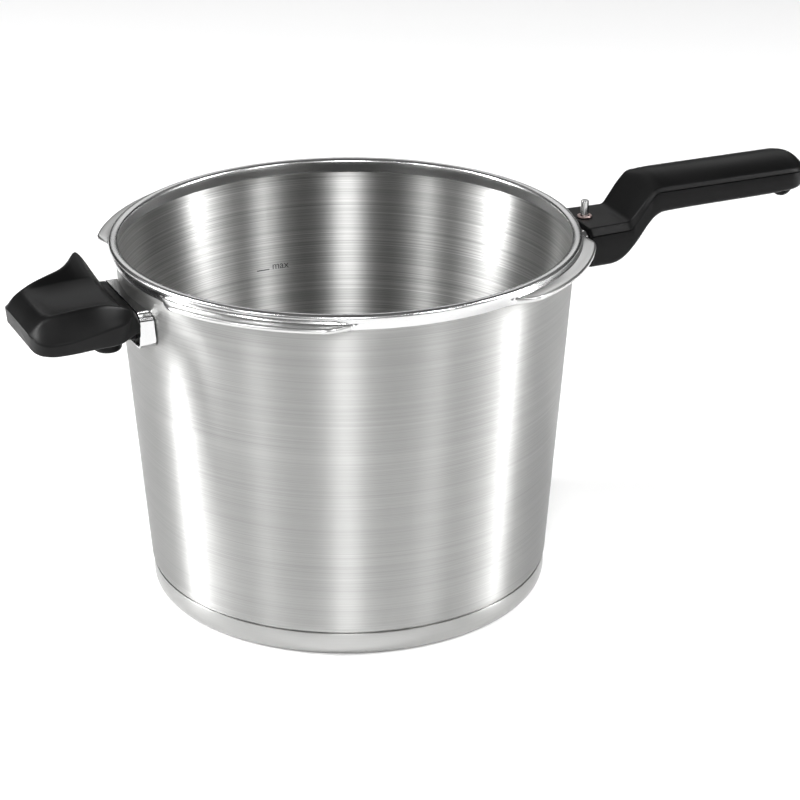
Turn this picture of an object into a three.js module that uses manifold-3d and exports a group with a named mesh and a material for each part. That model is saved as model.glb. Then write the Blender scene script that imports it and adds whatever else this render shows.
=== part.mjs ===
// Stovetop pressure cooker, pot half: a tapered steel pot with a bayonet rim, an encapsulated base,
// a long handle with its catch pin on +X and a wide helper grip on -X.
// Millimetres, +Z up. The origin is the centre of the flat base, on the surface that it stands on.
import * as THREE from 'three';
import { mergeVertices } from 'three/addons/utils/BufferGeometryUtils.js';
import Module from 'manifold-3d';

const wasm = await Module();
wasm.setup();

// ---- driving dimensions ----
const GAP = 0.3;                       // clearance left between neighbouring pieces
const ROUND = 72;                      // facets round the pot

const SEAM_RADIUS = 98.8;              // pot wall, outside, at the base seam
const SEAM_HEIGHT = 12.8;
const WALL_TAPER = 0.0808;             // radius gained per millimetre of height
const SHEET = 1.0;                     // thickness of the drawn pot wall
const FLOOR_UNDER = 10.5;              // underside of the pot floor
const FLOOR_CORNER = 6;                // outside corner radius of the pot floor

const RIM_TOP = 181;
const RIM_INNER = 110;
const RIM_OUTER = 114.7;
const LUG_OUTER = 121.5;
const LUG_TOP = 177;
const LUG_UNDER = 174.4;
const LUG_COUNT = 4;
const LUG_GAP_HALF = THREE.MathUtils.degToRad(18);   // half of the clear gap between two lugs
const LUG_TAPER = THREE.MathUtils.degToRad(9);       // run-out at each end of a lug

const BASE_FOOT_RADIUS = 93.6;         // flat of the base
const BASE_RADIUS = 98.3;              // capsule, outside
const BASE_CURVE = 6.5;                // height of the curved edge of the capsule
const CAPSULE_TOP = 12.2;
const CAPSULE_SHEET = 0.8;
const CORE_TOP = FLOOR_UNDER - GAP;

const TONGUE_THICK = 4;
const TONGUE_HALF = 8;                 // half the width of a bracket tongue
const PAD_THICK = 1.6;                 // weld pad of a bracket
const SCREW_RADIUS = 2.5;
const SCREW_HEAD_RADIUS = 4.2;
const SCREW_HEAD = 3;
const WASHER_RADIUS = 4.4;
const WASHER_THICK = 1.2;
const NUT_ACROSS = 8;                  // across flats
const NUT_THICK = 3.6;
const GUARD_SHEET = 1.2;

// long handle, side outline (x outward from the pot axis, z up)
const HANDLE_START = 124.5;
const HANDLE_END = 251;
const DECK_TOP = 169.5;
const DECK_HALF = 19.3;                // half width at the pot
const GRIP_HALF = 17.5;                // half width along the grip
const GRIP_TOP = 190;
const GRIP_EDGE = 185.4;               // height of the grip's top where it meets its sides
const GRIP_UNDER = 172;
const HANDLE_UNDER = 148.8;
const COVER = 3.5;                     // depth of the cover below the top edge
const PIN_X = 129.6;
const PIN_TOP = 178.4;
const PIN_RADIUS = 2;
const COLLAR_RADIUS = 3.8;
const COLLAR_THICK = 0.8;
const HANDLE_TONGUE_Z = 156;           // underside of the tongue
const HANDLE_SCREW_X = 142;
const HANDLE_TONGUE_END = 150;
const HANDLE_SEAT = 152;               // face that the screw's spring washer bears on
const COVER_SCREW_X = [185, 222];
const COVER_SCREW_RADIUS = 1.5;
const COVER_SCREW_HEAD_RADIUS = 2.8;
const COVER_SCREW_HEAD = 2.2;
const DECK_END = 145;                  // the deck is level to here
const SLOPE_FOOT = 148.8;
const SLOPE_TOP = 163;
const CREST_START = 170;               // the grip's top is level from here
const CREST_END = 240;
const TIP_TOP = 181;                   // top of the rounded tip
const TIP_ROUND = 13;                  // length of the tip's curve in plan
const UNDER_LEVEL_END = 136;           // the underside is level to here
const UNDER_FOOT = [149.4, 156];       // foot of the slope under the handle
const UNDER_SHOULDER = [158.5, 167.8]; // top of the slope under the handle
const UNDER_GRIP_START = 167;
const HANDLE_GUARD_HALF = 16;
const HANDLE_GUARD_LOW = 150;
const HANDLE_GUARD_HIGH = 167.4;
const HANDLE_GUARD_CORNER = 4;
const EYE_X = 241.5;                   // hanging eye, under the far end of the grip
const EYE_Z = 172.8;
const EYE_RADIUS = 7;
const EYE_HOLE_Z = 171.2;
const EYE_HOLE = 3.2;
const EYE_HALF = 6;

// helper grip, in its own frame with x outward
const GRIP_START = 115;
const WING_START = 121.5;
const WING_HALF = 43.5;                // half width of the wings beside the pot
const WING_END = 166;
const WING_END_HALF = 29;
const SHELF_HALF = 25;
const SHELF_TOP = 164.5;
const WING_CREST = 174;
const WING_UNDER = 151;
const SIDE_GUARD_HALF = 27.5;
const SIDE_GUARD_LOW = 146.5;
const SIDE_GUARD_HIGH = 164.5;
const SIDE_TONGUE_Z = 155.5;
const SIDE_SCREW_X = 122.5;
const SIDE_TONGUE_END = 129;
const BOSS_RADIUS = 7;
const BOSS_BOTTOM = 138.5;
const BOSS_SEAT = 146;                 // face that the screw's spring washer bears on
const WING_ROUND = 8;                  // length of the outer corners' curve in plan
const WING_LIP = 160;                  // height of the lip round the wing
const WING_FLANK = 172.5;              // height at which the flanks turn in to the crests
const WING_NOSE = 161;                 // height of the nose beside the pot
const WING_NOSE_UNDER = 155.5;
const WING_TILT = 12;                  // how far the flanks lean in below the lip
const DISH_REACH = [44, 27, 9];        // half sizes of the thumb dish along, across and down
const DISH_START = 6;                  // the dish's centre is this far inside the wing's start
const DISH_LIFT = 2.6;                 // and this far above the crest
const SIDE_GUARD_CORNER = 5;

// ---- materials ----
const brushed = () => new THREE.MeshStandardMaterial({ color: 0xb9bbbd, roughness: 0.34, metalness: 1 });
const polished = () => new THREE.MeshStandardMaterial({ color: 0xdfe0e2, roughness: 0.08, metalness: 1 });
const aluminium = () => new THREE.MeshStandardMaterial({ color: 0xc9cbce, roughness: 0.5, metalness: 1 });
const plastic = () => new THREE.MeshStandardMaterial({ color: 0x1d1d1e, roughness: 0.55, metalness: 0 });
const coppery = () => new THREE.MeshStandardMaterial({ color: 0xc9a394, roughness: 0.3, metalness: 1 });

// ---- solids from three.js geometry, joined and cut with manifold ----
function solid(geometry) {
  const bare = geometry.clone();
  bare.deleteAttribute('normal');
  bare.deleteAttribute('uv');
  const merged = mergeVertices(bare, 1e-4);
  const index = merged.index.array;
  const kept = [];
  for (let i = 0; i < index.length; i += 3) {
    const [a, b, c] = [index[i], index[i + 1], index[i + 2]];
    if (a !== b && b !== c && c !== a) kept.push(a, b, c);
  }
  return new wasm.Manifold(new wasm.Mesh({
    numProp: 3,
    vertProperties: new Float32Array(merged.attributes.position.array),
    triVerts: new Uint32Array(kept),
  }));
}

function geometryOf(body) {
  const mesh = body.getMesh();
  const geometry = new THREE.BufferGeometry();
  geometry.setAttribute('position', new THREE.BufferAttribute(new Float32Array(mesh.vertProperties), 3));
  geometry.setIndex(new THREE.BufferAttribute(new Uint32Array(mesh.triVerts), 1));
  return geometry;
}

const points = (pairs) => pairs.map(([x, y]) => new THREE.Vector2(x, y));

// A profile of [radius, height] pairs turned about the z axis at (x, y).
function turned(pairs, x = 0, y = 0, facets = ROUND) {
  const geometry = new THREE.LatheGeometry(points(pairs), facets);
  geometry.rotateX(Math.PI / 2);
  geometry.translate(x, y, 0);
  return solid(geometry);
}

function extruded(shape, depth, across, up, along, start) {
  const geometry = new THREE.ExtrudeGeometry(shape, { depth, bevelEnabled: false, curveSegments: 8 });
  geometry.applyMatrix4(new THREE.Matrix4().makeBasis(across, up, along));
  geometry.translate(start.x, start.y, start.z);
  return solid(geometry);
}

const X = new THREE.Vector3(1, 0, 0);
const Y = new THREE.Vector3(0, 1, 0);
const Z = new THREE.Vector3(0, 0, 1);

// Plan outline raised from z0 to z1, side outline spread to +-half, end outline run from x0 to x1.
const fromPlan = (shape, z0, z1) => extruded(shape, z1 - z0, X, Y, Z, new THREE.Vector3(0, 0, z0));
const fromSide = (shape, half) =>
  extruded(shape, 2 * half, X, Z, Y.clone().negate(), new THREE.Vector3(0, half, 0));
const fromEnd = (shape, x0, x1) => extruded(shape, x1 - x0, Y, Z, X, new THREE.Vector3(x0, 0, 0));

function block(x0, x1, y0, y1, z0, z1) {
  const geometry = new THREE.BoxGeometry(x1 - x0, y1 - y0, z1 - z0);
  geometry.translate((x0 + x1) / 2, (y0 + y1) / 2, (z0 + z1) / 2);
  return solid(geometry);
}

function rod(radius, x, y, z0, z1, facets = 24) {
  return turned([[0, z0], [radius, z0], [radius, z1], [0, z1]], x, y, facets);
}

function roundedRectangle(halfWidth, z0, z1, radius) {
  const shape = new THREE.Shape();
  shape.moveTo(-halfWidth + radius, z0);
  shape.lineTo(halfWidth - radius, z0);
  shape.absarc(halfWidth - radius, z0 + radius, radius, -Math.PI / 2, 0);
  shape.absarc(halfWidth - radius, z1 - radius, radius, 0, Math.PI / 2);
  shape.absarc(-halfWidth + radius, z1 - radius, radius, Math.PI / 2, Math.PI);
  shape.absarc(-halfWidth + radius, z0 + radius, radius, Math.PI, 1.5 * Math.PI);
  return shape;
}

const group = new THREE.Group();

function add(name, body, material, parent = group) {
  const mesh = new THREE.Mesh(geometryOf(body), material);
  mesh.name = name;
  parent.add(mesh);
  return mesh;
}

// ---- pot ----
const wallOuter = (z) => SEAM_RADIUS + WALL_TAPER * (z - SEAM_HEIGHT);

function arc(cx, cz, radiusX, radiusZ, from, to, steps) {
  const out = [];
  for (let i = 0; i <= steps; i += 1) {
    const angle = THREE.MathUtils.degToRad(from + (to - from) * i / steps);
    out.push([cx + radiusX * Math.cos(angle), cz + radiusZ * Math.sin(angle)]);
  }
  return out;
}

function potBody() {
  const cornerZ = FLOOR_UNDER + FLOOR_CORNER;
  const cornerR = wallOuter(cornerZ) - FLOOR_CORNER;
  const lugBend = 1.2;
  const rimFillet = 0.8;
  const rimDome = 1.6;
  const crown = (RIM_OUTER - RIM_INNER) / 2;
  const profile = [
    [0, FLOOR_UNDER],
    ...arc(cornerR, cornerZ, FLOOR_CORNER, FLOOR_CORNER, -90, 0, 5),
    [wallOuter(LUG_UNDER - 2), LUG_UNDER - 2],
    [wallOuter(LUG_UNDER) + 0.6, LUG_UNDER],
    ...arc(LUG_OUTER - lugBend, (LUG_UNDER + LUG_TOP) / 2, lugBend, (LUG_TOP - LUG_UNDER) / 2, -90, 90, 4),
    [RIM_OUTER + rimFillet, LUG_TOP],
    [RIM_OUTER, LUG_TOP + rimFillet],
    ...arc(RIM_INNER + crown, RIM_TOP - rimDome, crown, rimDome, 0, 180, 8),
    [RIM_INNER, RIM_TOP - 3],
    [wallOuter(LUG_UNDER) - SHEET, LUG_UNDER - 1],
    ...arc(cornerR, cornerZ, FLOOR_CORNER - SHEET, FLOOR_CORNER - SHEET, 0, -90, 5),
    [0, FLOOR_UNDER + SHEET],
  ];
  let pot = turned(profile);
  for (let i = 0; i < LUG_COUNT; i += 1) {
    pot = pot.subtract(lugGap(i * 2 * Math.PI / LUG_COUNT));
  }
  return pot;
}

// The space between two lugs, centred on an angle. Its ends run out over the lug taper.
function lugGap(centre) {
  const at = (radius, angle) =>
    new THREE.Vector2(radius * Math.cos(centre + angle), radius * Math.sin(centre + angle));
  const side = LUG_GAP_HALF + LUG_TAPER;
  const beyond = LUG_OUTER + 20;
  const shape = new THREE.Shape([
    at(RIM_OUTER, -LUG_GAP_HALF), at(LUG_OUTER + 0.4, -side), at(beyond, -side),
    at(beyond, side), at(LUG_OUTER + 0.4, side), at(RIM_OUTER, LUG_GAP_HALF),
  ]);
  const low = LUG_UNDER - 1;
  const high = LUG_TOP + 0.9;
  return fromPlan(shape, low, high).subtract(rod(RIM_OUTER + 0.9, 0, 0, low - 1, high + 1, ROUND));
}

function baseCapsule() {
  const outerArc = arc(BASE_FOOT_RADIUS, BASE_CURVE, BASE_RADIUS - BASE_FOOT_RADIUS, BASE_CURVE, -90, 0, 5);
  const inner = BASE_RADIUS - CAPSULE_SHEET;
  const innerArc = arc(
    BASE_FOOT_RADIUS, BASE_CURVE, inner - BASE_FOOT_RADIUS, BASE_CURVE - CAPSULE_SHEET, 0, -90, 5);
  return turned([
    [0, 0], ...outerArc, [BASE_RADIUS, CAPSULE_TOP], [inner, CAPSULE_TOP], ...innerArc, [0, CAPSULE_SHEET],
  ]);
}

function baseCore() {
  const radius = BASE_RADIUS - CAPSULE_SHEET - GAP;
  const low = CAPSULE_SHEET + GAP;
  const edge = arc(BASE_FOOT_RADIUS, BASE_CURVE, radius - BASE_FOOT_RADIUS, BASE_CURVE - low, -90, 0, 5);
  return turned([[0, low], ...edge, [radius, CORE_TOP], [0, CORE_TOP]]);
}

// ---- fixings that both handles share ----
// Everything inside this cone is the pot, with the clearance round it.
function potCone(clearance) {
  const low = 130;
  const high = 185;
  return turned([
    [0, low], [wallOuter(low) + clearance, low], [wallOuter(high) + clearance, high], [0, high],
  ]);
}

// A bracket is a curved pad welded to the wall, with a tongue that carries the handle.
function bracket(tongueZ, tongueEnd, screwX) {
  const padHalf = 12;
  const padLow = tongueZ - 3;
  const padHigh = tongueZ + TONGUE_THICK + 3;
  const hole = rod(SCREW_RADIUS + GAP, screwX, 0, tongueZ - 1, tongueZ + TONGUE_THICK + 1);
  const ring = potCone(GAP + PAD_THICK).subtract(potCone(GAP));
  const pad = ring.intersect(block(90, 140, -padHalf, padHalf, padLow, padHigh));
  const tongue = block(105, tongueEnd, -TONGUE_HALF, TONGUE_HALF, tongueZ, tongueZ + TONGUE_THICK)
    .subtract(potCone(GAP));
  return pad.add(tongue).subtract(hole);
}

function nut(screwX, tongueZ) {
  const shape = new THREE.Shape();
  const corner = NUT_ACROSS / Math.sqrt(3);
  shape.moveTo(screwX + corner, 0);
  for (let i = 1; i < 6; i += 1) {
    const angle = i * Math.PI / 3;
    shape.lineTo(screwX + corner * Math.cos(angle), corner * Math.sin(angle));
  }
  const low = tongueZ + TONGUE_THICK + GAP;
  return fromPlan(shape, low, low + NUT_THICK)
    .subtract(rod(SCREW_RADIUS + GAP, screwX, 0, low - 1, low + NUT_THICK + 1));
}

// A screw that stands head down, with a cross recess in its head.
function screw(x, headLow, tip, radius, headRadius, head) {
  const seat = headLow + head;
  const bevel = 0.5;
  const point = 0.8;
  const body = turned([
    [0, headLow], [headRadius - bevel, headLow], [headRadius, headLow + bevel], [headRadius, seat],
    [radius, seat], [radius, tip - point], [radius - point, tip], [0, tip],
  ], x, 0, 24);
  const slot = 0.6;
  const arm = 2.2;
  const depth = 1.6;
  const cross = block(x - arm, x + arm, -slot, slot, headLow - 1, headLow + depth)
    .add(block(x - slot, x + slot, -arm, arm, headLow - 1, headLow + depth));
  return body.subtract(cross);
}

// A split spring washer under a screw head.
function springWasher(x, low) {
  const slit = 0.5;
  const high = low + WASHER_THICK;
  return turned([
    [SCREW_RADIUS + GAP, low], [WASHER_RADIUS, low], [WASHER_RADIUS, high],
    [SCREW_RADIUS + GAP, high], [SCREW_RADIUS + GAP, low],
  ], x, 0, 24).subtract(block(x, x + WASHER_RADIUS + 1, -slit, slit, low - 1, high + 1));
}

// A polished sleeve between the pot wall and a handle.
function flameGuard(half, z0, z1, end, radius) {
  const start = RIM_INNER - 10;
  const opening = roundedRectangle(half - GUARD_SHEET, z0 + GUARD_SHEET, z1 - GUARD_SHEET, radius - GUARD_SHEET);
  return fromEnd(roundedRectangle(half, z0, z1, radius), start, end)
    .subtract(fromEnd(opening, start - 1, end + 1))
    .subtract(potCone(GAP));
}

// A well for a screw head and its washer, open at the bottom, with a clearance hole above it.
function screwWell(x, bottom, seat, top, headRadius = SCREW_HEAD_RADIUS, radius = SCREW_RADIUS) {
  return rod(headRadius + 2 * GAP, x, 0, bottom - 1, seat).add(rod(radius + GAP, x, 0, seat - 1, top));
}

// ---- long handle ----
// The cover's underside follows the top edge, which steps up from the deck to the grip.
function partingLine(drop) {
  const top = GRIP_TOP + 5;
  const gripEdge = GRIP_EDGE + 0.9;
  return new THREE.Shape(points([
    [HANDLE_START - 2, top],
    [HANDLE_END + 2, top],
    [HANDLE_END + 2, TIP_TOP + 2.5 - drop],
    [CREST_END + 2, gripEdge - drop],
    [SLOPE_TOP + 2.5, gripEdge - drop],
    [SLOPE_TOP - 1.2, gripEdge - 1.9 - drop],
    [SLOPE_FOOT - 0.2, DECK_TOP + 1.2 - drop],
    [DECK_END + 0.6, DECK_TOP - drop],
    [HANDLE_START - 2, DECK_TOP - drop],
  ]));
}

function handlePlan() {
  const tipStart = HANDLE_END - TIP_ROUND;
  const shape = new THREE.Shape();
  shape.moveTo(HANDLE_START, -DECK_HALF);
  shape.lineTo(SLOPE_FOOT, -GRIP_HALF - 0.5);
  shape.lineTo(SLOPE_TOP, -GRIP_HALF);
  shape.lineTo(tipStart, -GRIP_HALF);
  shape.absellipse(tipStart, 0, TIP_ROUND, GRIP_HALF, -Math.PI / 2, Math.PI / 2);
  shape.lineTo(SLOPE_TOP, GRIP_HALF);
  shape.lineTo(SLOPE_FOOT, GRIP_HALF + 0.5);
  shape.lineTo(HANDLE_START, DECK_HALF);
  return shape;
}

function handleSide() {
  const bend = 8;
  const lift = 2;
  const shape = new THREE.Shape();
  shape.moveTo(HANDLE_START, HANDLE_UNDER);
  shape.lineTo(UNDER_LEVEL_END, HANDLE_UNDER);
  shape.quadraticCurveTo(UNDER_LEVEL_END + bend, HANDLE_UNDER, ...UNDER_FOOT);
  shape.lineTo(...UNDER_SHOULDER);
  shape.quadraticCurveTo(UNDER_SHOULDER[0] + 3, GRIP_UNDER, UNDER_GRIP_START, GRIP_UNDER);
  shape.lineTo(HANDLE_END - 5, GRIP_UNDER + lift);
  shape.quadraticCurveTo(HANDLE_END, GRIP_UNDER + lift, HANDLE_END, GRIP_UNDER + 3 * lift);
  shape.lineTo(HANDLE_END, TIP_TOP);
  shape.quadraticCurveTo(HANDLE_END - 1, GRIP_TOP, CREST_END, GRIP_TOP);
  shape.lineTo(CREST_START, GRIP_TOP);
  shape.quadraticCurveTo(CREST_START - 4, GRIP_TOP, SLOPE_TOP, GRIP_TOP - 2.8);
  shape.lineTo(SLOPE_FOOT, DECK_TOP + lift);
  shape.quadraticCurveTo(SLOPE_FOOT - 1.8, DECK_TOP, DECK_END, DECK_TOP);
  shape.lineTo(HANDLE_START, DECK_TOP);
  return shape;
}

// The eye that the handle hangs from, a small ear under its far end with a hole through it.
function hangingEye() {
  const ear = new THREE.Shape();
  ear.absarc(EYE_X, EYE_Z, EYE_RADIUS, 0, 2 * Math.PI);
  return fromSide(ear, EYE_HALF);
}

function eyeHole() {
  const hole = new THREE.Shape();
  hole.absarc(EYE_X, EYE_HOLE_Z, EYE_HOLE, 0, 2 * Math.PI);
  return fromSide(hole, EYE_HALF + 1);
}

// The crowned section of the grip.
function handleSection() {
  const crown = 6;
  const shape = new THREE.Shape();
  shape.moveTo(-DECK_HALF - 1, HANDLE_UNDER - 10);
  shape.lineTo(DECK_HALF + 1, HANDLE_UNDER - 10);
  shape.lineTo(DECK_HALF + 1, GRIP_EDGE - 3);
  for (let i = -crown; i <= crown; i += 1) {
    const y = -i / crown * (GRIP_HALF - 1);
    shape.lineTo(y, GRIP_TOP - (GRIP_TOP - GRIP_EDGE) * (i / crown) ** 2);
  }
  shape.lineTo(-DECK_HALF - 1, GRIP_EDGE - 3);
  return shape;
}

function handleBlank() {
  return fromSide(handleSide(), DECK_HALF + 2)
    .intersect(fromPlan(handlePlan(), HANDLE_UNDER - 12, GRIP_TOP + 5))
    .intersect(fromEnd(handleSection(), HANDLE_START - 2, HANDLE_END + 2));
}

function buildLongHandle() {
  const half = DECK_HALF + 2;
  const blank = handleBlank();
  const socketLow = HANDLE_TONGUE_Z - GAP;
  const nutTop = HANDLE_TONGUE_Z + TONGUE_THICK + GAP + NUT_THICK;
  const socketHigh = nutTop + GAP;
  const socket = block(HANDLE_START - 5, HANDLE_TONGUE_END + GAP, -TONGUE_HALF - GAP, TONGUE_HALF + GAP,
    socketLow, socketHigh);
  const pinHole = rod(PIN_RADIUS + GAP, PIN_X, 0, socketHigh - 1, DECK_TOP + 5);
  let shell = blank.subtract(fromSide(partingLine(COVER + GAP), half))
    .add(hangingEye())
    .subtract(socket)
    .subtract(pinHole)
    .subtract(screwWell(HANDLE_SCREW_X, HANDLE_UNDER, HANDLE_SEAT, socketLow + 1))
    .subtract(eyeHole());
  let cover = blank.intersect(fromSide(partingLine(COVER), half)).subtract(pinHole);
  const coverTip = GRIP_TOP - 2.6;
  const coverHead = GRIP_UNDER + 2.1;
  const coverSeat = coverHead + COVER_SCREW_HEAD + GAP;
  COVER_SCREW_X.forEach((x, i) => {
    shell = shell.subtract(
      screwWell(x, GRIP_UNDER - 3, coverSeat, GRIP_TOP, COVER_SCREW_HEAD_RADIUS, COVER_SCREW_RADIUS));
    cover = cover.subtract(rod(COVER_SCREW_RADIUS + GAP, x, 0, GRIP_EDGE - 6, coverTip + GAP));
    const body = screw(x, coverHead, coverTip, COVER_SCREW_RADIUS, COVER_SCREW_HEAD_RADIUS, COVER_SCREW_HEAD);
    add(`cover_screw_${i + 1}`, body, brushed());
  });
  add('handle_shell', shell, plastic());
  add('handle_cover', cover, plastic());
  add('handle_bracket', bracket(HANDLE_TONGUE_Z, HANDLE_TONGUE_END, HANDLE_SCREW_X), brushed());
  add('handle_nut', nut(HANDLE_SCREW_X, HANDLE_TONGUE_Z), brushed());
  const washerLow = HANDLE_SEAT - GAP - WASHER_THICK;
  const lowHead = SCREW_HEAD - 1;
  const headLow = washerLow - GAP - lowHead;
  add('handle_washer', springWasher(HANDLE_SCREW_X, washerLow), brushed());
  add('handle_screw',
    screw(HANDLE_SCREW_X, headLow, nutTop, SCREW_RADIUS, SCREW_HEAD_RADIUS, lowHead), brushed());
  const guardEnd = HANDLE_START - GAP;
  add('handle_flame_guard',
    flameGuard(HANDLE_GUARD_HALF, HANDLE_GUARD_LOW, HANDLE_GUARD_HIGH, guardEnd, HANDLE_GUARD_CORNER),
    polished());
  add('catch_pin', catchPin(), polished());
  add('catch_pin_collar', catchPinCollar(), coppery());
}

function catchPin() {
  const low = HANDLE_TONGUE_Z + TONGUE_THICK + GAP;
  const foot = 3.2;
  const footThick = 1;
  const bevel = 0.5;
  return turned([
    [0, low], [foot, low], [foot, low + footThick], [PIN_RADIUS, low + footThick + 0.8],
    [PIN_RADIUS, PIN_TOP - bevel], [PIN_RADIUS - bevel, PIN_TOP], [0, PIN_TOP],
  ], PIN_X, 0, 24);
}

function catchPinCollar() {
  const low = DECK_TOP + GAP;
  return turned([
    [PIN_RADIUS + GAP, low], [COLLAR_RADIUS, low], [COLLAR_RADIUS, low + COLLAR_THICK],
    [PIN_RADIUS + GAP, low + COLLAR_THICK], [PIN_RADIUS + GAP, low],
  ], PIN_X, 0, 24);
}

// ---- helper grip ----
function wingPlan() {
  const corner = WING_END - WING_ROUND;
  const cornerHalf = WING_END_HALF + 2.6;
  const straight = WING_END_HALF - WING_ROUND;
  const shape = new THREE.Shape();
  shape.moveTo(WING_START, -WING_HALF + 3);
  shape.quadraticCurveTo(WING_START + 1, -WING_HALF, WING_START + 5, -WING_HALF + 1);
  shape.lineTo(corner, -cornerHalf);
  shape.quadraticCurveTo(WING_END, -WING_END_HALF, WING_END, -straight);
  shape.lineTo(WING_END, straight);
  shape.quadraticCurveTo(WING_END, WING_END_HALF, corner, cornerHalf);
  shape.lineTo(WING_START + 5, WING_HALF - 1);
  shape.quadraticCurveTo(WING_START + 1, WING_HALF, WING_START, WING_HALF - 3);
  return shape;
}

function wingSide() {
  const foot = WING_START + 8;
  const shape = new THREE.Shape();
  shape.moveTo(WING_START, WING_NOSE);
  shape.quadraticCurveTo(WING_START + 1, WING_NOSE_UNDER + 1.5, foot, WING_NOSE_UNDER);
  shape.quadraticCurveTo(foot + 16, WING_UNDER, WING_END - WING_ROUND, WING_UNDER);
  shape.quadraticCurveTo(WING_END - 2, WING_UNDER, WING_END, WING_UNDER + 4);
  shape.lineTo(WING_END, WING_LIP - 1);
  shape.lineTo(WING_END - 7, 167.4);
  shape.lineTo(WING_END - 20, 170.6);
  shape.lineTo(WING_START + 10, WING_CREST - 2);
  shape.lineTo(WING_START + 3, WING_CREST);
  shape.lineTo(WING_START, WING_CREST - 3);
  return shape;
}

// The thumb dish, hollowed between the crests and open towards the pot.
function thumbDish() {
  const geometry = new THREE.SphereGeometry(1, 40, 24);
  geometry.scale(...DISH_REACH);
  geometry.translate(WING_START - DISH_START, 0, WING_CREST + DISH_LIFT);
  return solid(geometry);
}

// The wings seen from the outer end: the sides lean out up to the lips, and the flanks lean in above them.
function wingSection() {
  const side = WING_HALF + 3;
  const above = WING_CREST + 2;
  return new THREE.Shape(points([
    [-side + WING_TILT, WING_UNDER - 2], [side - WING_TILT, WING_UNDER - 2], [side, WING_LIP],
    [side - 3, WING_FLANK], [side - WING_TILT, above], [-side + WING_TILT, above],
    [-side + 3, WING_FLANK], [-side, WING_LIP],
  ]));
}

function gripBoss() {
  const join = WING_UNDER + 3;
  const round = 2.4;
  return turned([
    [0, BOSS_BOTTOM], [BOSS_RADIUS - round, BOSS_BOTTOM],
    [BOSS_RADIUS - round / 3, BOSS_BOTTOM + round * 0.7], [BOSS_RADIUS, BOSS_BOTTOM + round * 1.7],
    [BOSS_RADIUS, join], [0, join],
  ], SIDE_SCREW_X, 0, 32);
}

function sideGrip() {
  const wing = fromSide(wingSide(), WING_HALF + 4)
    .intersect(fromPlan(wingPlan(), BOSS_BOTTOM, WING_CREST + 5))
    .intersect(fromEnd(wingSection(), GRIP_START, WING_END + 2));
  const root = block(GRIP_START, WING_START + 10, -SHELF_HALF, SHELF_HALF, WING_UNDER, SHELF_TOP);
  const socketLow = SIDE_TONGUE_Z - GAP;
  const socketHigh = SIDE_TONGUE_Z + TONGUE_THICK + NUT_THICK + 2 * GAP;
  const socket = block(GRIP_START - 5, SIDE_TONGUE_END + GAP, -TONGUE_HALF - GAP, TONGUE_HALF + GAP,
    socketLow, socketHigh);
  return wing.add(root).add(gripBoss())
    .subtract(thumbDish())
    .subtract(socket)
    .subtract(screwWell(SIDE_SCREW_X, BOSS_BOTTOM, BOSS_SEAT, socketLow + 1));
}

function buildHelperGrip() {
  const side = new THREE.Group();
  side.rotation.z = Math.PI;
  group.add(side);
  const washerLow = BOSS_SEAT - GAP - WASHER_THICK;
  const headLow = washerLow - GAP - SCREW_HEAD;
  const nutTop = SIDE_TONGUE_Z + TONGUE_THICK + GAP + NUT_THICK;
  add('side_grip', sideGrip(), plastic(), side);
  add('side_bracket', bracket(SIDE_TONGUE_Z, SIDE_TONGUE_END, SIDE_SCREW_X), brushed(), side);
  add('side_nut', nut(SIDE_SCREW_X, SIDE_TONGUE_Z), brushed(), side);
  add('side_washer', springWasher(SIDE_SCREW_X, washerLow), brushed(), side);
  add('side_screw',
    screw(SIDE_SCREW_X, headLow, nutTop, SCREW_RADIUS, SCREW_HEAD_RADIUS, SCREW_HEAD), brushed(), side);
  add('side_flame_guard',
    flameGuard(SIDE_GUARD_HALF, SIDE_GUARD_LOW, SIDE_GUARD_HIGH, GRIP_START - GAP, SIDE_GUARD_CORNER),
    polished(), side);
}

add('pot_body', potBody(), brushed());
add('base_capsule', baseCapsule(), polished());
add('base_core', baseCore(), aluminium());
buildLongHandle();
buildHelperGrip();

export default group;
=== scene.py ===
# %% [markdown]
# # A stovetop pressure cooker's pot
# The pot is a thin steel drum with a bayonet rim, a thick base and two black handles, each on a bracket
# behind a polished steel guard. The CAD model is loaded first, as a fixed frame. The cells below make most of
# its pieces again in finer form, and each fine piece hides the plain one that it stands for. The two brackets
# and the disc in the base keep their plain shapes.

# %% The frame
import math

import bpy
import numpy as np
from mathutils import Matrix, Vector


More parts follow.
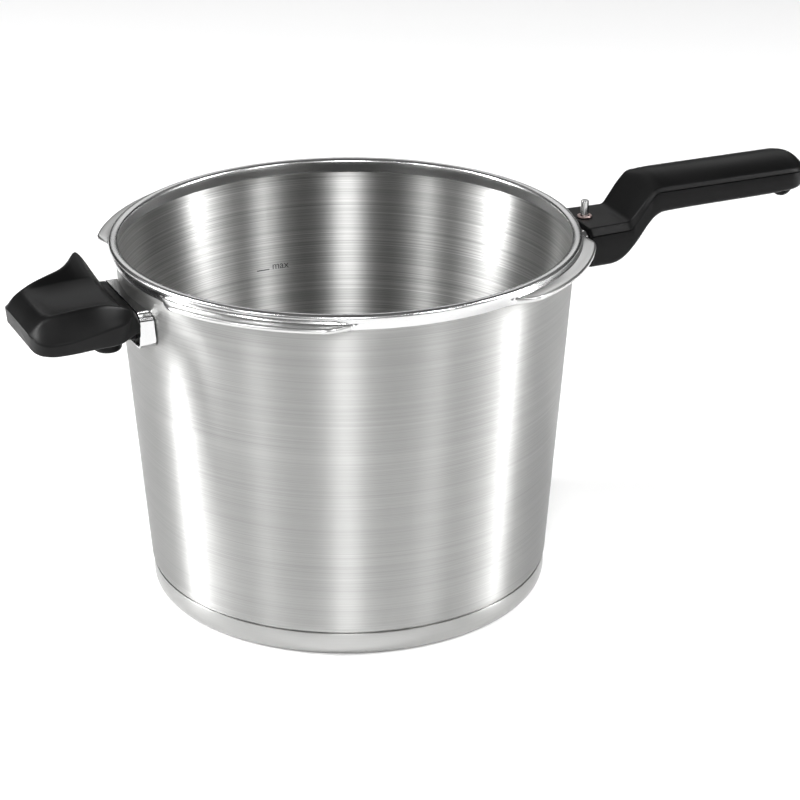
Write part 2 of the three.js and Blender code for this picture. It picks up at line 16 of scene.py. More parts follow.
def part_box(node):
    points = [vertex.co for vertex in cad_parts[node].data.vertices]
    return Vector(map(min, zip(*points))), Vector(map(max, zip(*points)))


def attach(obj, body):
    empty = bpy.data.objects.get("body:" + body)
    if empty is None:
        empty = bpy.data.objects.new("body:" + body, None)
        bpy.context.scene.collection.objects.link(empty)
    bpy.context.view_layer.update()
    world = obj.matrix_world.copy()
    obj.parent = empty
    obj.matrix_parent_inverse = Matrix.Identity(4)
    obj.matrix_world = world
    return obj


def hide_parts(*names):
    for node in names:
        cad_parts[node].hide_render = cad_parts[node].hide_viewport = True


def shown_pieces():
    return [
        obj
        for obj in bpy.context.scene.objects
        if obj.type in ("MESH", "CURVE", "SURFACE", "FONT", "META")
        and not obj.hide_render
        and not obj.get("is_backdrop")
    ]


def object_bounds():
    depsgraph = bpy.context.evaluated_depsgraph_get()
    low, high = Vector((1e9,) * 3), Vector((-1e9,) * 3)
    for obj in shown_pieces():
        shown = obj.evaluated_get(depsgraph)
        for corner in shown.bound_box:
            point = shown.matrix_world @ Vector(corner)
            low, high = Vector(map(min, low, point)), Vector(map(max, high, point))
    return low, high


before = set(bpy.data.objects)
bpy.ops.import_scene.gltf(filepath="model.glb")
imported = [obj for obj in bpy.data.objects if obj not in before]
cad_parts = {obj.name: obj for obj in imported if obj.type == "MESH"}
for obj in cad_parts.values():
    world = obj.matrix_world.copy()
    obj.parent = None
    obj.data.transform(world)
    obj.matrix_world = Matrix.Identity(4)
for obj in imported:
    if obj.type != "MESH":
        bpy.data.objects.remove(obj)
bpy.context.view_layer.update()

# %% [markdown]
# ## Sizes
# Cookware is drawn in millimetres and Blender works in metres, so every outline below is written in
# millimetres and multiplied by MM once, when its mesh is made. Some sizes are measured on the frame's own
# pieces: the heights of the rim and the pot's floor, the ends of the long handle, the top and edge of the
# base cup, and the places of the fixings and the pin. The others are written in here, and most of them repeat
# the CAD model's numbers, so a change there has to be made here too.

# %% Sizes
MM = 0.001


def box_mm(node):
    """The lowest and the highest corner of a CAD piece's box, in mm."""
    low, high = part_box(node)
    return [v / MM for v in low], [v / MM for v in high]


POT_LOW, POT_HIGH = box_mm("pot_body")
HANDLE_LOW, HANDLE_HIGH = box_mm("handle_shell")
CAPSULE_HIGH = box_mm("base_capsule")[1]
RIM_TOP = POT_HIGH[2]
RIM_INNER, RIM_OUTER = 110.0, 114.7
LUG_OUTER = 121.5
LUG_TOP, LUG_UNDER = RIM_TOP - 4.0, RIM_TOP - 6.6
LUG_COUNT = 4
LUG_GAP_HALF, LUG_TAPER = math.radians(18), math.radians(9)
SEAM_RADIUS, SEAM_HEIGHT = 98.8, 12.8
WALL_TAPER = 0.0808
SHEET = 1.0
FLOOR_UNDER = POT_LOW[2]
FLOOR_CORNER = 6.0
GAP = 0.3


def wall_outer(z):
    """Radius of the wall, outside, at a height."""
    return SEAM_RADIUS + WALL_TAPER * (z - SEAM_HEIGHT)


print(f"rim top {RIM_TOP:.1f}, wall {wall_outer(20):.1f} to {wall_outer(LUG_UNDER):.1f} mm")

# %% [markdown]
# ## Helpers for meshes
# Three ways of making a shape serve for most of the pot. A spun piece is an outline turned round an upright
# axis. A lofted piece is a row of closed sections joined ring to ring, which suits moulded handles. A cut
# joins, subtracts or intersects closed solids with the Boolean modifier, which is then applied.

# %% Helpers for meshes
ROOT = "root"
SHARP = math.radians(32)


def piece(name, vertices, faces, material, turn=0.0):
    """A mesh object at the origin, from millimetres. turn is an angle about the pot's axis, in radians."""
    mesh = bpy.data.meshes.new(name)
    place = Matrix.Rotation(turn, 4, "Z")
    mesh.from_pydata([(place @ Vector(v)) * MM for v in vertices], [], faces)
    mesh.update()
    obj = bpy.data.objects.new(name, mesh)
    bpy.context.scene.collection.objects.link(obj)
    if material is not None:
        mesh.materials.append(material)
    return obj


def signed_volume(mesh):
    """The volume inside a closed mesh, or its negative if the faces point inwards."""
    mesh.calc_loop_triangles()
    total = 0.0
    for triangle in mesh.loop_triangles:
        a, b, c = (mesh.vertices[i].co for i in triangle.vertices)
        total += a.dot(b.cross(c)) / 6
    return total


def outward(obj, angle=SHARP):
    """Faces point out, shading is smooth and edges sharper than the angle stay crisp."""
    if signed_volume(obj.data) < 0:
        obj.data.flip_normals()
    obj.data.shade_smooth()
    obj.data.set_sharp_from_angle(angle=angle)
    return obj


def loft(name, rings, material, turn=0.0):
    """Closed sections, all with as many points, joined in order, with a fan of triangles over each end."""
    count = len(rings[0])
    vertices = [tuple(p) for ring in rings for p in ring]
    faces = []
    for i in range(len(rings) - 1):
        for j in range(count):
            k = (j + 1) % count
            faces.append((i * count + j, i * count + k, (i + 1) * count + k, (i + 1) * count + j))
    for ring_start, ring, flip in ((0, rings[0], True), ((len(rings) - 1) * count, rings[-1], False)):
        centre = len(vertices)
        vertices.append(tuple(np.mean(np.array(ring), axis=0)))
        for j in range(count):
            k = (j + 1) % count
            corner = (ring_start + k, ring_start + j) if flip else (ring_start + j, ring_start + k)
            faces.append((*corner, centre))
    return outward(piece(name, vertices, faces, material, turn=turn))


def baked(obj):
    """The object's mesh with its modifiers applied, and the modifiers gone."""
    graph = bpy.context.evaluated_depsgraph_get()
    mesh = bpy.data.meshes.new_from_object(obj.evaluated_get(graph))
    mesh.name = obj.name
    obj.modifiers.clear()
    obj.data = mesh
    return obj


def cut(obj, tool, operation="DIFFERENCE"):
    """Takes a closed tool away from a closed piece, or joins or intersects them, and removes the tool."""
    modifier = obj.modifiers.new("cut", "BOOLEAN")
    modifier.operation = operation
    modifier.solver = "MANIFOLD"
    modifier.object = tool
    baked(obj)
    bpy.data.objects.remove(tool)
    return outward(obj)


def pchip(points):
    """A smooth curve through (x, y) points that never overshoots them, as a function of x."""
    xs, ys = (np.array(v, float) for v in zip(*points))
    h, d = np.diff(xs), np.diff(ys) / np.diff(xs)
    slope = np.zeros(len(xs))
    slope[0], slope[-1] = d[0], d[-1]
    for i in range(1, len(xs) - 1):
        if d[i - 1] * d[i] > 0:
            w1, w2 = 2 * h[i] + h[i - 1], h[i] + 2 * h[i - 1]
            slope[i] = (w1 + w2) / (w1 / d[i - 1] + w2 / d[i])

    def value(x):
        i = int(np.clip(np.searchsorted(xs, x) - 1, 0, len(h) - 1))
        t = float(np.clip((x - xs[i]) / h[i], 0, 1))
        return float((2 * t**3 - 3 * t**2 + 1) * ys[i] + (t**3 - 2 * t**2 + t) * h[i] * slope[i]
                     + (3 * t**2 - 2 * t**3) * ys[i + 1] + (t**3 - t**2) * h[i] * slope[i + 1])

    return value


print("helpers ready")

# %% [markdown]
# ## The camera
# The camera stands about 1.5 m away and half a metre above the rim, on the helper grip's side, and looks down
# at the pot with a long lens. A long lens keeps the rim's ellipse and the tapered wall in their true shapes.

# %% The camera
CAMERA_AT = Vector((-0.50668, -1.25407, 0.66348))
CAMERA_AIM = Vector((0.36153, 0.84711, -0.38950))
CAMERA_ROLL = math.radians(-0.193)
LENS, SENSOR = 133.05, 36.0

camera_data = bpy.data.cameras.new("camera")
camera_data.lens = LENS
camera_data.sensor_width = SENSOR
camera = bpy.data.objects.new("camera", camera_data)
bpy.context.scene.collection.objects.link(camera)
camera.rotation_mode = "QUATERNION"
camera.location = CAMERA_AT
camera.rotation_quaternion = (
    CAMERA_AIM.to_track_quat("-Z", "Y") @ Matrix.Rotation(CAMERA_ROLL, 3, "Z").to_quaternion())
bpy.context.scene.camera = camera
print("camera", [round(v, 3) for v in camera.location], "lens", LENS)

# %% [markdown]
# ## Floor and light
# Steel has no look of its own: it shows its surroundings. A pale floor gives the wall its even grey, and tall
# narrow soft boxes to the left, to the right and behind the camera give it soft upright bands. The brushing
# spreads each band upwards and downwards, but not sideways, so the bands stay narrow. Two slimmer boxes stand
# between the main ones, and a wide weak one stands behind the pot. The world itself is dim, and only a little
# brighter overhead, so that it doesn't wash the bands out. The camera alone sees it as plain white.

# %% Floor and light
FLOOR_HALF = 6.0
floor_mesh = bpy.data.meshes.new("floor")
floor_mesh.from_pydata([(-FLOOR_HALF, -FLOOR_HALF, 0), (FLOOR_HALF, -FLOOR_HALF, 0),
                        (FLOOR_HALF, FLOOR_HALF, 0), (-FLOOR_HALF, FLOOR_HALF, 0)], [], [(0, 1, 2, 3)])
floor = bpy.data.objects.new("floor", floor_mesh)
bpy.context.scene.collection.objects.link(floor)
floor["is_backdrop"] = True

floor_paint = bpy.data.materials.new("floor_paint")
floor_paint.use_nodes = True
floor_surface = floor_paint.node_tree.nodes["Principled BSDF"]
floor_surface.inputs["Base Color"].default_value = (0.95, 0.95, 0.95, 1)
floor_surface.inputs["Roughness"].default_value = 0.9
floor_mesh.materials.append(floor_paint)

world = bpy.data.worlds.new("studio")
world.use_nodes = True
sky = world.node_tree
background = sky.nodes["Background"]
background.inputs["Color"].default_value = (1, 1, 1, 1)
direction = sky.nodes.new("ShaderNodeTexCoord")
split_sky = sky.nodes.new("ShaderNodeSeparateXYZ")
sky.links.new(direction.outputs["Generated"], split_sky.inputs[0])
rise = sky.nodes.new("ShaderNodeMapRange")
rise.interpolation_type = "SMOOTHSTEP"
for label, value in (("From Min", 0.22), ("From Max", 0.62), ("To Min", 0.03), ("To Max", 0.12)):
    rise.inputs[label].default_value = value
sky.links.new(split_sky.outputs["Z"], rise.inputs["Value"])
seen = sky.nodes.new("ShaderNodeLightPath")
backdrop = sky.nodes.new("ShaderNodeMix")
backdrop.inputs["B"].default_value = 1.0
sky.links.new(seen.outputs["Is Camera Ray"], backdrop.inputs["Factor"])
sky.links.new(rise.outputs[0], backdrop.inputs["A"])
sky.links.new(backdrop.outputs[0], background.inputs["Strength"])
bpy.context.scene.world = world
bpy.context.scene.view_settings.view_transform = "Standard"

VIEW_AZIMUTH = math.atan2(CAMERA_AT.y, CAMERA_AT.x)
POT_MIDDLE = Vector((0, 0, 0.11))


def soft_box(name, azimuth, distance, middle, width, height, watts):
    """An upright soft box at so many degrees round the pot from the camera, facing the pot."""
    light = bpy.data.lights.new(name, "AREA")
    light.shape = "RECTANGLE"
    light.size, light.size_y = width, height
    light.energy = watts
    obj = bpy.data.objects.new(name, light)
    angle = VIEW_AZIMUTH + math.radians(azimuth)
    obj.location = (distance * math.cos(angle), distance * math.sin(angle), middle)
    obj.rotation_euler = (POT_MIDDLE - obj.location).to_track_quat("-Z", "Y").to_euler()
    bpy.context.scene.collection.objects.link(obj)
    return obj


# The name, the degrees round the pot, the distance, the height of the middle, the width, height and power.
soft_box("box_left", -90, 1.5, 0.8, 0.26, 1.5, 41)
soft_box("box_right", 86, 1.5, 0.8, 0.20, 1.5, 27)
soft_box("box_front", -1, 2.6, 1.7, 0.60, 1.6, 48)
soft_box("box_front_left", -47, 2.0, 1.6, 0.14, 1.4, 15)
soft_box("box_front_right", 47, 2.0, 1.6, 0.14, 1.4, 15)
soft_box("box_back", 180, 2.2, 1.4, 2.4, 1.0, 8)

# %% [markdown]
# ## Shader groups
# Three effects recur. Turning lines are the fine rings that a brush or a tool leaves on a piece that spins:
# noise stretched round the axis does this, with no seam. Handling marks are large faint patches where steel
# has been wiped. Mould grain is the sand-fine texture that a spark-eroded mould gives black plastic. Each is
# built once as a group that puts out numbers only, and the metal or plastic shader stays in its material.

# %% Tools for shader groups
def new_group(name, inputs, outputs):
    group = bpy.data.node_groups.new(name, "ShaderNodeTree")
    for label, value in inputs:
        socket = group.interface.new_socket(label, in_out="INPUT", socket_type="NodeSocketFloat")
        socket.default_value = value
    for label in outputs:
        group.interface.new_socket(label, in_out="OUTPUT", socket_type="NodeSocketFloat")
    return group, group.nodes.new("NodeGroupInput"), group.nodes.new("NodeGroupOutput")


def math_node(tree, operation, first, second=None, third=None):
    """One step of arithmetic in a tree. Each value is a plain number or another node's output."""
    node = tree.nodes.new("ShaderNodeMath")
    node.operation = operation
    for socket, value in zip(node.inputs, (first, second, third)):
        if isinstance(value, (int, float)):
            socket.default_value = value
        elif value is not None:
            tree.links.new(value, socket)
    return node.outputs[0]


def noise_node(tree, vector, detail, roughness=0.5):
    node = tree.nodes.new("ShaderNodeTexNoise")
    node.inputs["Scale"].default_value = 1.0
    node.inputs["Detail"].default_value = detail
    node.inputs["Roughness"].default_value = roughness
    tree.links.new(vector, node.inputs["Vector"])
    return node.outputs["Fac"]


# %% Turning lines
def turning_lines():
    """Rings round the z axis: fine lines, and broader streaks of them."""
    tree, given, out = new_group(
        "turning_lines", [("Lines per metre", 4000.0), ("Stretch", 5.0)], ["Lines", "Streaks"])
    place = tree.nodes.new("ShaderNodeTexCoord")
    split = tree.nodes.new("ShaderNodeSeparateXYZ")
    tree.links.new(place.outputs["Object"], split.inputs[0])
    x, y, z = split.outputs
    across = math_node(tree, "ADD", math_node(tree, "MULTIPLY", x, x), math_node(tree, "MULTIPLY", y, y))
    radius = math_node(tree, "SQRT", across)
    along = math_node(tree, "ADD", math_node(tree, "MULTIPLY", radius, 0.9), z)
    for fraction, label in ((1.0, "Lines"), (0.06, "Streaks")):
        point = tree.nodes.new("ShaderNodeCombineXYZ")
        tree.links.new(math_node(tree, "MULTIPLY", x, given.outputs["Stretch"]), point.inputs[0])
        tree.links.new(math_node(tree, "MULTIPLY", y, given.outputs["Stretch"]), point.inputs[1])
        rate = math_node(tree, "MULTIPLY", given.outputs["Lines per metre"], fraction)
        tree.links.new(math_node(tree, "MULTIPLY", along, rate), point.inputs[2])
        tree.links.new(noise_node(tree, point.outputs[0], 3.0, roughness=0.65), out.inputs[label])
    return tree


TURNING_LINES = turning_lines()


# %% Handling marks and mould grain
def handling_marks():
    """Large soft patches, from about 0 where the surface is as made to the amount where it is wiped."""
    tree, given, out = new_group("handling_marks", [("Size", 12.0), ("Amount", 1.0)], ["Marks"])
    place = tree.nodes.new("ShaderNodeTexCoord")
    scaled = tree.nodes.new("ShaderNodeVectorMath")
    scaled.operation = "SCALE"
    tree.links.new(place.outputs["Object"], scaled.inputs[0])
    tree.links.new(given.outputs["Size"], scaled.inputs["Scale"])
    marks = noise_node(tree, scaled.outputs[0], 4.0, roughness=0.55)
    centred = math_node(tree, "MULTIPLY_ADD", marks, 2.4, -0.7)
    tree.links.new(math_node(tree, "MULTIPLY", centred, given.outputs["Amount"]), out.inputs["Marks"])
    return tree


def mould_grain():
    """Fine pits of a spark-eroded mould, and a slow cloud over them."""
    tree, given, out = new_group("mould_grain", [("Grains per metre", 2600.0)], ["Pits", "Cloud"])
    place = tree.nodes.new("ShaderNodeTexCoord")
    for fraction, label, detail in ((1.0, "Pits", 2.0), (0.012, "Cloud", 3.0)):
        scaled = tree.nodes.new("ShaderNodeVectorMath")
        scaled.operation = "SCALE"
        tree.links.new(place.outputs["Object"], scaled.inputs[0])
        tree.links.new(math_node(tree, "MULTIPLY", given.outputs[0], fraction), scaled.inputs["Scale"])
        tree.links.new(noise_node(tree, scaled.outputs[0], detail), out.inputs[label])
    return tree


HANDLING_MARKS, MOULD_GRAIN = handling_marks(), mould_grain()
print("shader groups:", [g.name for g in bpy.data.node_groups])

# %% [markdown]
# ## Steel
# One function makes every metal of the pot. How far the brushing stretches its shine is set on the shader
# itself. Turning lines change the roughness and the colour round their middle values, and handling marks
# change the roughness in patches. The lines also push the normal up and down, so the shine breaks into fine
# rings. The rim is polished, so its lines have no height.

# %% Steel
def steel(name, colour, rough, brushed, lines, lift, tone=0.12, marks=0.04):
    """A turned or brushed metal.

    brushed stretches the shine across the lines, lines is how many there are per metre, lift is their height
    in mm and tone is how much they change the colour.
    """
    material = bpy.data.materials.new(name)
    material.use_nodes = True
    tree = material.node_tree
    surface = tree.nodes["Principled BSDF"]
    surface.inputs["Metallic"].default_value = 1.0
    surface.inputs["Anisotropic"].default_value = brushed
    surface.inputs["Anisotropic Rotation"].default_value = 0.25
    rings = tree.nodes.new("ShaderNodeGroup")
    rings.node_tree = TURNING_LINES
    rings.inputs["Lines per metre"].default_value = lines
    wiped = tree.nodes.new("ShaderNodeGroup")
    wiped.node_tree = HANDLING_MARKS
    wiped.inputs["Amount"].default_value = marks
    mixed = math_node(tree, "MULTIPLY_ADD", rings.outputs["Streaks"], 0.16,
                      math_node(tree, "MULTIPLY", rings.outputs["Lines"], 0.84))
    roughness = math_node(tree, "MULTIPLY_ADD", mixed, rough * 0.5, rough * 0.75)
    roughness = math_node(tree, "ADD", roughness, wiped.outputs["Marks"])
    tree.links.new(roughness, surface.inputs["Roughness"])
    ramp = tree.nodes.new("ShaderNodeMix")
    ramp.data_type = "RGBA"
    ramp.inputs["A"].default_value = (*[c * (1 - tone) for c in colour], 1)
    ramp.inputs["B"].default_value = (*[min(1, c * (1 + tone)) for c in colour], 1)
    tree.links.new(mixed, ramp.inputs["Factor"])
    tree.links.new(ramp.outputs["Result"], surface.inputs["Base Color"])
    bump = tree.nodes.new("ShaderNodeBump")
    bump.inputs["Distance"].default_value = lift * MM
    bump.inputs["Strength"].default_value = 1.0
    tree.links.new(mixed, bump.inputs["Height"])
    tree.links.new(bump.outputs[0], surface.inputs["Normal"])
    if brushed:
        tangent = tree.nodes.new("ShaderNodeTangent")
        tangent.direction_type = "RADIAL"
        tangent.axis = "Z"
        tree.links.new(tangent.outputs[0], surface.inputs["Tangent"])
    return material


wall_steel = steel("wall_brushed_steel", (0.38, 0.38, 0.374), 0.39, 0.97, 3000, 0.008, tone=0.45)
inside_steel = steel("inside_brushed_steel", (0.45, 0.45, 0.443), 0.38, 0.98, 2200, 0.014, tone=0.9)
rim_steel = steel("rim_polished_steel", (0.62, 0.62, 0.62), 0.24, 0.0, 2200, 0.0, tone=0.02, marks=0.01)
lug_steel = steel("lug_satin_steel", (0.60, 0.60, 0.594), 0.28, 0.5, 2600, 0.001, tone=0.06)
capsule_steel = steel("capsule_turned_steel", (0.38, 0.38, 0.374), 0.30, 0.7, 4000, 0.003, tone=0.12)
guard_steel = steel("guard_polished_steel", (0.60, 0.60, 0.60), 0.12, 0.0, 900, 0.0006, tone=0.03, marks=0.02)
screw_steel = steel("fixing_steel", (0.52, 0.52, 0.52), 0.30, 0.0, 5000, 0.002, tone=0.10)
bracket_steel = steel("bracket_sheet_steel", (0.48, 0.48, 0.48), 0.38, 0.0, 2600, 0.003, tone=0.10)
pin_steel = steel("pin_turned_steel", (0.46, 0.46, 0.46), 0.20, 0.0, 9000, 0.002, tone=0.08)
collar_steel = steel("collar_warm_steel", (0.42, 0.32, 0.30), 0.30, 0.0, 9000, 0.002, tone=0.08)
core_metal = steel("core_aluminium", (0.66, 0.67, 0.69), 0.5, 0.0, 2000, 0.004, tone=0.08)
print("steels made")

# %% [markdown]
# ## Black plastic
# The handles are moulded in a heat-proof black plastic. Its grain is fine enough to read as a soft sheen.
# Hands and cloths rub some places smoother than others, so a slow cloud in the grain raises and lowers the
# roughness, and changes the colour a little.

# %% Black plastic
def black_plastic(name, colour, rough, grain):
    """A moulded black plastic. rough is its middle roughness, grain is the depth of the pits in mm."""
    material = bpy.data.materials.new(name)
    material.use_nodes = True
    tree = material.node_tree
    surface = tree.nodes["Principled BSDF"]
    surface.inputs["Specular IOR Level"].default_value = 0.13
    pits = tree.nodes.new("ShaderNodeGroup")
    pits.node_tree = MOULD_GRAIN
    tree.links.new(math_node(tree, "MULTIPLY_ADD", pits.outputs["Cloud"], 0.16, rough - 0.08),
                   surface.inputs["Roughness"])
    ramp = tree.nodes.new("ShaderNodeMix")
    ramp.data_type = "RGBA"
    ramp.inputs["A"].default_value = (*[c * 0.8 for c in colour], 1)
    ramp.inputs["B"].default_value = (*[c * 1.25 for c in colour], 1)
    tree.links.new(pits.outputs["Cloud"], ramp.inputs["Factor"])
    tree.links.new(ramp.outputs["Result"], surface.inputs["Base Color"])
    bump = tree.nodes.new("ShaderNodeBump")
    bump.inputs["Distance"].default_value = grain * MM
    tree.links.new(pits.outputs["Pits"], bump.inputs["Height"])
    tree.links.new(bump.outputs[0], surface.inputs["Normal"])
    return material


grip_plastic = black_plastic("grip_black_plastic", (0.0024, 0.0024, 0.0025), 0.40, 0.02)
print("plastic made")

# %% [markdown]
# ## The pot
# The pot is one drawn steel sheet with a rolled rim. It is a spun shape whose rule is simple: an outline
# turned round the axis, with four lugs that swell out of the rim and fade away again. Geometry Nodes suit
# such a rule. A grid has one column for each point of the outline and one row for each step round the pot,
# and a last row that meets the first. Each of its points is moved to its place. The outline carries a second
# place for each point, where a lug is full, and a smooth mask of the angle blends between the two.

# %% The spinning tree
def spin_tree():
    """A node tree that turns an outline round the z axis, with lugs if it is given any."""
    tree = bpy.data.node_groups.new("spin_with_lugs", "GeometryNodeTree")
    face = tree.interface
    face.new_socket("Outline", in_out="INPUT", socket_type="NodeSocketGeometry")
    for label, kind, value in (("Outline points", "Int", 8), ("Steps round", "Int", 96), ("Lugs", "Int", 0),
                               ("Gap half angle", "Float", 0.3), ("Fade angle", "Float", 0.15)):
        socket = face.new_socket(label, in_out="INPUT", socket_type="NodeSocket" + kind)
        socket.default_value = value
    face.new_socket("Finish", in_out="INPUT", socket_type="NodeSocketMaterial")
    face.new_socket("Piece", in_out="OUTPUT", socket_type="NodeSocketGeometry")
    given, out = tree.nodes.new("NodeGroupInput"), tree.nodes.new("NodeGroupOutput")
    rows = math_node(tree, "ADD", given.outputs["Steps round"], 1)

    grid = tree.nodes.new("GeometryNodeMeshGrid")
    tree.links.new(given.outputs["Outline points"], grid.inputs["Vertices X"])
    tree.links.new(rows, grid.inputs["Vertices Y"])
    index = tree.nodes.new("GeometryNodeInputIndex").outputs[0]
    column = math_node(tree, "FLOOR", math_node(tree, "DIVIDE", math_node(tree, "ADD", index, 0.5), rows))
    row = math_node(tree, "SUBTRACT", index, math_node(tree, "MULTIPLY", column, rows))
    angle = math_node(tree, "MULTIPLY", math_node(tree, "DIVIDE", row, given.outputs["Steps round"]),
                      2 * math.pi)

    def sampled(value, kind):
        node = tree.nodes.new("GeometryNodeSampleIndex")
        node.data_type = kind
        tree.links.new(given.outputs["Outline"], node.inputs["Geometry"])
        tree.links.new(value, node.inputs["Value"])
        tree.links.new(column, node.inputs["Index"])
        return node.outputs["Value"]

    plain = tree.nodes.new("ShaderNodeSeparateXYZ")
    tree.links.new(sampled(tree.nodes.new("GeometryNodeInputPosition").outputs[0], "FLOAT_VECTOR"),
                   plain.inputs[0])
    lug = tree.nodes.new("GeometryNodeInputNamedAttribute")
    lug.data_type = "FLOAT_VECTOR"
    lug.inputs["Name"].default_value = "lug"
    full = tree.nodes.new("ShaderNodeSeparateXYZ")
    tree.links.new(sampled(lug.outputs["Attribute"], "FLOAT_VECTOR"), full.inputs[0])

    # The mask is 0 in the middle of a gap and 1 along a lug, and it fades over the fade angle.
    turns = math_node(tree, "DIVIDE", math_node(tree, "MULTIPLY", angle, given.outputs["Lugs"]), 2 * math.pi)
    nearest_gap = math_node(tree, "ROUND", turns)
    from_gap = math_node(tree, "ABSOLUTE", math_node(tree, "SUBTRACT", turns, nearest_gap))
    lugs = math_node(tree, "MAXIMUM", given.outputs["Lugs"], 1)
    from_gap = math_node(tree, "DIVIDE", math_node(tree, "MULTIPLY", from_gap, 2 * math.pi), lugs)
    mask = tree.nodes.new("ShaderNodeMapRange")
    mask.interpolation_type = "SMOOTHSTEP"
    tree.links.new(from_gap, mask.inputs["Value"])
    tree.links.new(given.outputs["Gap half angle"], mask.inputs["From Min"])
    tree.links.new(math_node(tree, "ADD", given.outputs["Gap half angle"], given.outputs["Fade angle"]),
                   mask.inputs["From Max"])

    def blend(a, b):
        return math_node(tree, "MULTIPLY_ADD", math_node(tree, "SUBTRACT", b, a), mask.outputs[0], a)

    radius = blend(plain.outputs["X"], full.outputs["X"])
    height = blend(plain.outputs["Z"], full.outputs["Z"])
    place = tree.nodes.new("ShaderNodeCombineXYZ")
    tree.links.new(math_node(tree, "MULTIPLY", radius, math_node(tree, "COSINE", angle)), place.inputs[0])
    tree.links.new(math_node(tree, "MULTIPLY", radius, math_node(tree, "SINE", angle)), place.inputs[1])
    tree.links.new(height, place.inputs[2])
    move = tree.nodes.new("GeometryNodeSetPosition")
    tree.links.new(grid.outputs["Mesh"], move.inputs["Geometry"])
    tree.links.new(place.outputs[0], move.inputs["Position"])
    merge = tree.nodes.new("GeometryNodeMergeByDistance")
    merge.inputs["Distance"].default_value = 1e-6
    tree.links.new(move.outputs[0], merge.inputs["Geometry"])
    real = tree.nodes.new("GeometryNodeRealizeInstances")
    tree.links.new(merge.outputs[0], real.inputs[0])
    finish = tree.nodes.new("GeometryNodeSetMaterial")
    tree.links.new(real.outputs[0], finish.inputs["Geometry"])
    tree.links.new(given.outputs["Finish"], finish.inputs["Material"])
    tree.links.new(finish.outputs[0], out.inputs[0])
    return tree


SPIN = spin_tree()


def spun(name, outline, material, steps=96, lugs=0, full=None):
    """Turns an outline of [radius, height] in mm. full is the same outline where a lug is at its widest."""
    mesh = bpy.data.meshes.new(name)
    mesh.from_pydata([(r * MM, 0, z * MM) for r, z in outline],
                     [(i, i + 1) for i in range(len(outline) - 1)], [])
    attribute = mesh.attributes.new("lug", "FLOAT_VECTOR", "POINT")
    for value, (r, z) in zip(attribute.data, full or outline):
        value.vector = (r * MM, 0, z * MM)
    obj = bpy.data.objects.new(name, mesh)
    bpy.context.scene.collection.objects.link(obj)
    modifier = obj.modifiers.new("spin", "NODES")
    modifier.node_group = SPIN
    values = {"Outline points": len(outline), "Steps round": steps, "Lugs": lugs,
              "Gap half angle": LUG_GAP_HALF, "Fade angle": LUG_TAPER, "Finish": material}
    for item in SPIN.interface.items_tree:
        if item.in_out == "INPUT" and item.name in values:
            modifier[item.identifier] = values[item.name]
    baked(obj)
    obj.data.materials.clear()
    if material is not None:
        obj.data.materials.append(material)
    return outward(obj)


def arc(cx, cz, radius_x, radius_z, start, end, steps):
    """Points of an elliptical arc, angles in degrees."""
    angles = [math.radians(start + (end - start) * i / steps) for i in range(steps + 1)]
    return [(cx + radius_x * math.cos(a), cz + radius_z * math.sin(a)) for a in angles]


# %% The pot itself
def pot_outlines():
    """The pot's outline in a gap between lugs, and the same points where a lug is full."""
    corner_z = FLOOR_UNDER + FLOOR_CORNER
    corner_r = wall_outer(corner_z) - FLOOR_CORNER
    wall_low = arc(corner_r, corner_z, FLOOR_CORNER, FLOOR_CORNER, -90, 0, 10)
    wall_rise = [(wall_outer(z), z) for z in np.linspace(corner_z + 8, LUG_UNDER - 5, 14)]
    under = LUG_UNDER
    lug_bend = 1.3
    bend = LUG_OUTER - lug_bend
    lug = [(wall_outer(under) + 0.2, under - 2.2), (wall_outer(under) + 0.9, under - 0.5),
           (wall_outer(under) + 2.2, under), (bend - 1.5, under)]
    lug += arc(bend, (under + LUG_TOP) / 2, lug_bend, (LUG_TOP - under) / 2, -90, 90, 8)
    lug += [(bend - 2.2, LUG_TOP), (RIM_OUTER + 1.6, LUG_TOP), (RIM_OUTER + 0.6, LUG_TOP + 0.3),
            (RIM_OUTER + 0.1, LUG_TOP + 1.0)]
    gap_top = [(RIM_OUTER - 0.25, LUG_TOP + 0.3), (RIM_OUTER - 0.05, LUG_TOP + 1.0)]
    slopes = np.linspace(0, 1, len(lug) - 2)
    gap = [(wall_outer(under) + 0.2 + (RIM_OUTER - 0.9 - wall_outer(under)) * s**0.7,
            under - 2.2 + (LUG_TOP + 0.1 - under + 2.2) * s) for s in slopes] + gap_top
    crown, dome = (RIM_OUTER - RIM_INNER) / 2, 1.7
    rim = [(RIM_OUTER, RIM_TOP - dome - 0.2)]
    rim += arc(RIM_INNER + crown, RIM_TOP - dome, crown, dome, 0, 180, 14)[1:]
    rim += [(RIM_INNER, RIM_TOP - 2.4), (RIM_INNER + 0.1, RIM_TOP - 3.2)]
    inner_top = wall_outer(LUG_UNDER) - SHEET
    inside = [(inner_top - 0.25, RIM_TOP - 6.0), (inner_top, RIM_TOP - 7.4)]
    inside += [(wall_outer(z) - SHEET, z) for z in np.linspace(RIM_TOP - 12, corner_z + 8, 14)]
    inside += arc(corner_r, corner_z, FLOOR_CORNER - SHEET, FLOOR_CORNER - SHEET, 0, -90, 10)
    inside += [(r, FLOOR_UNDER + SHEET) for r in (80, 50, 20, 0)]
    start = [(r, FLOOR_UNDER) for r in (0, 20, 50, 80)]
    before, after = start + wall_low + wall_rise, rim + inside
    return before + gap + after, before + lug + after


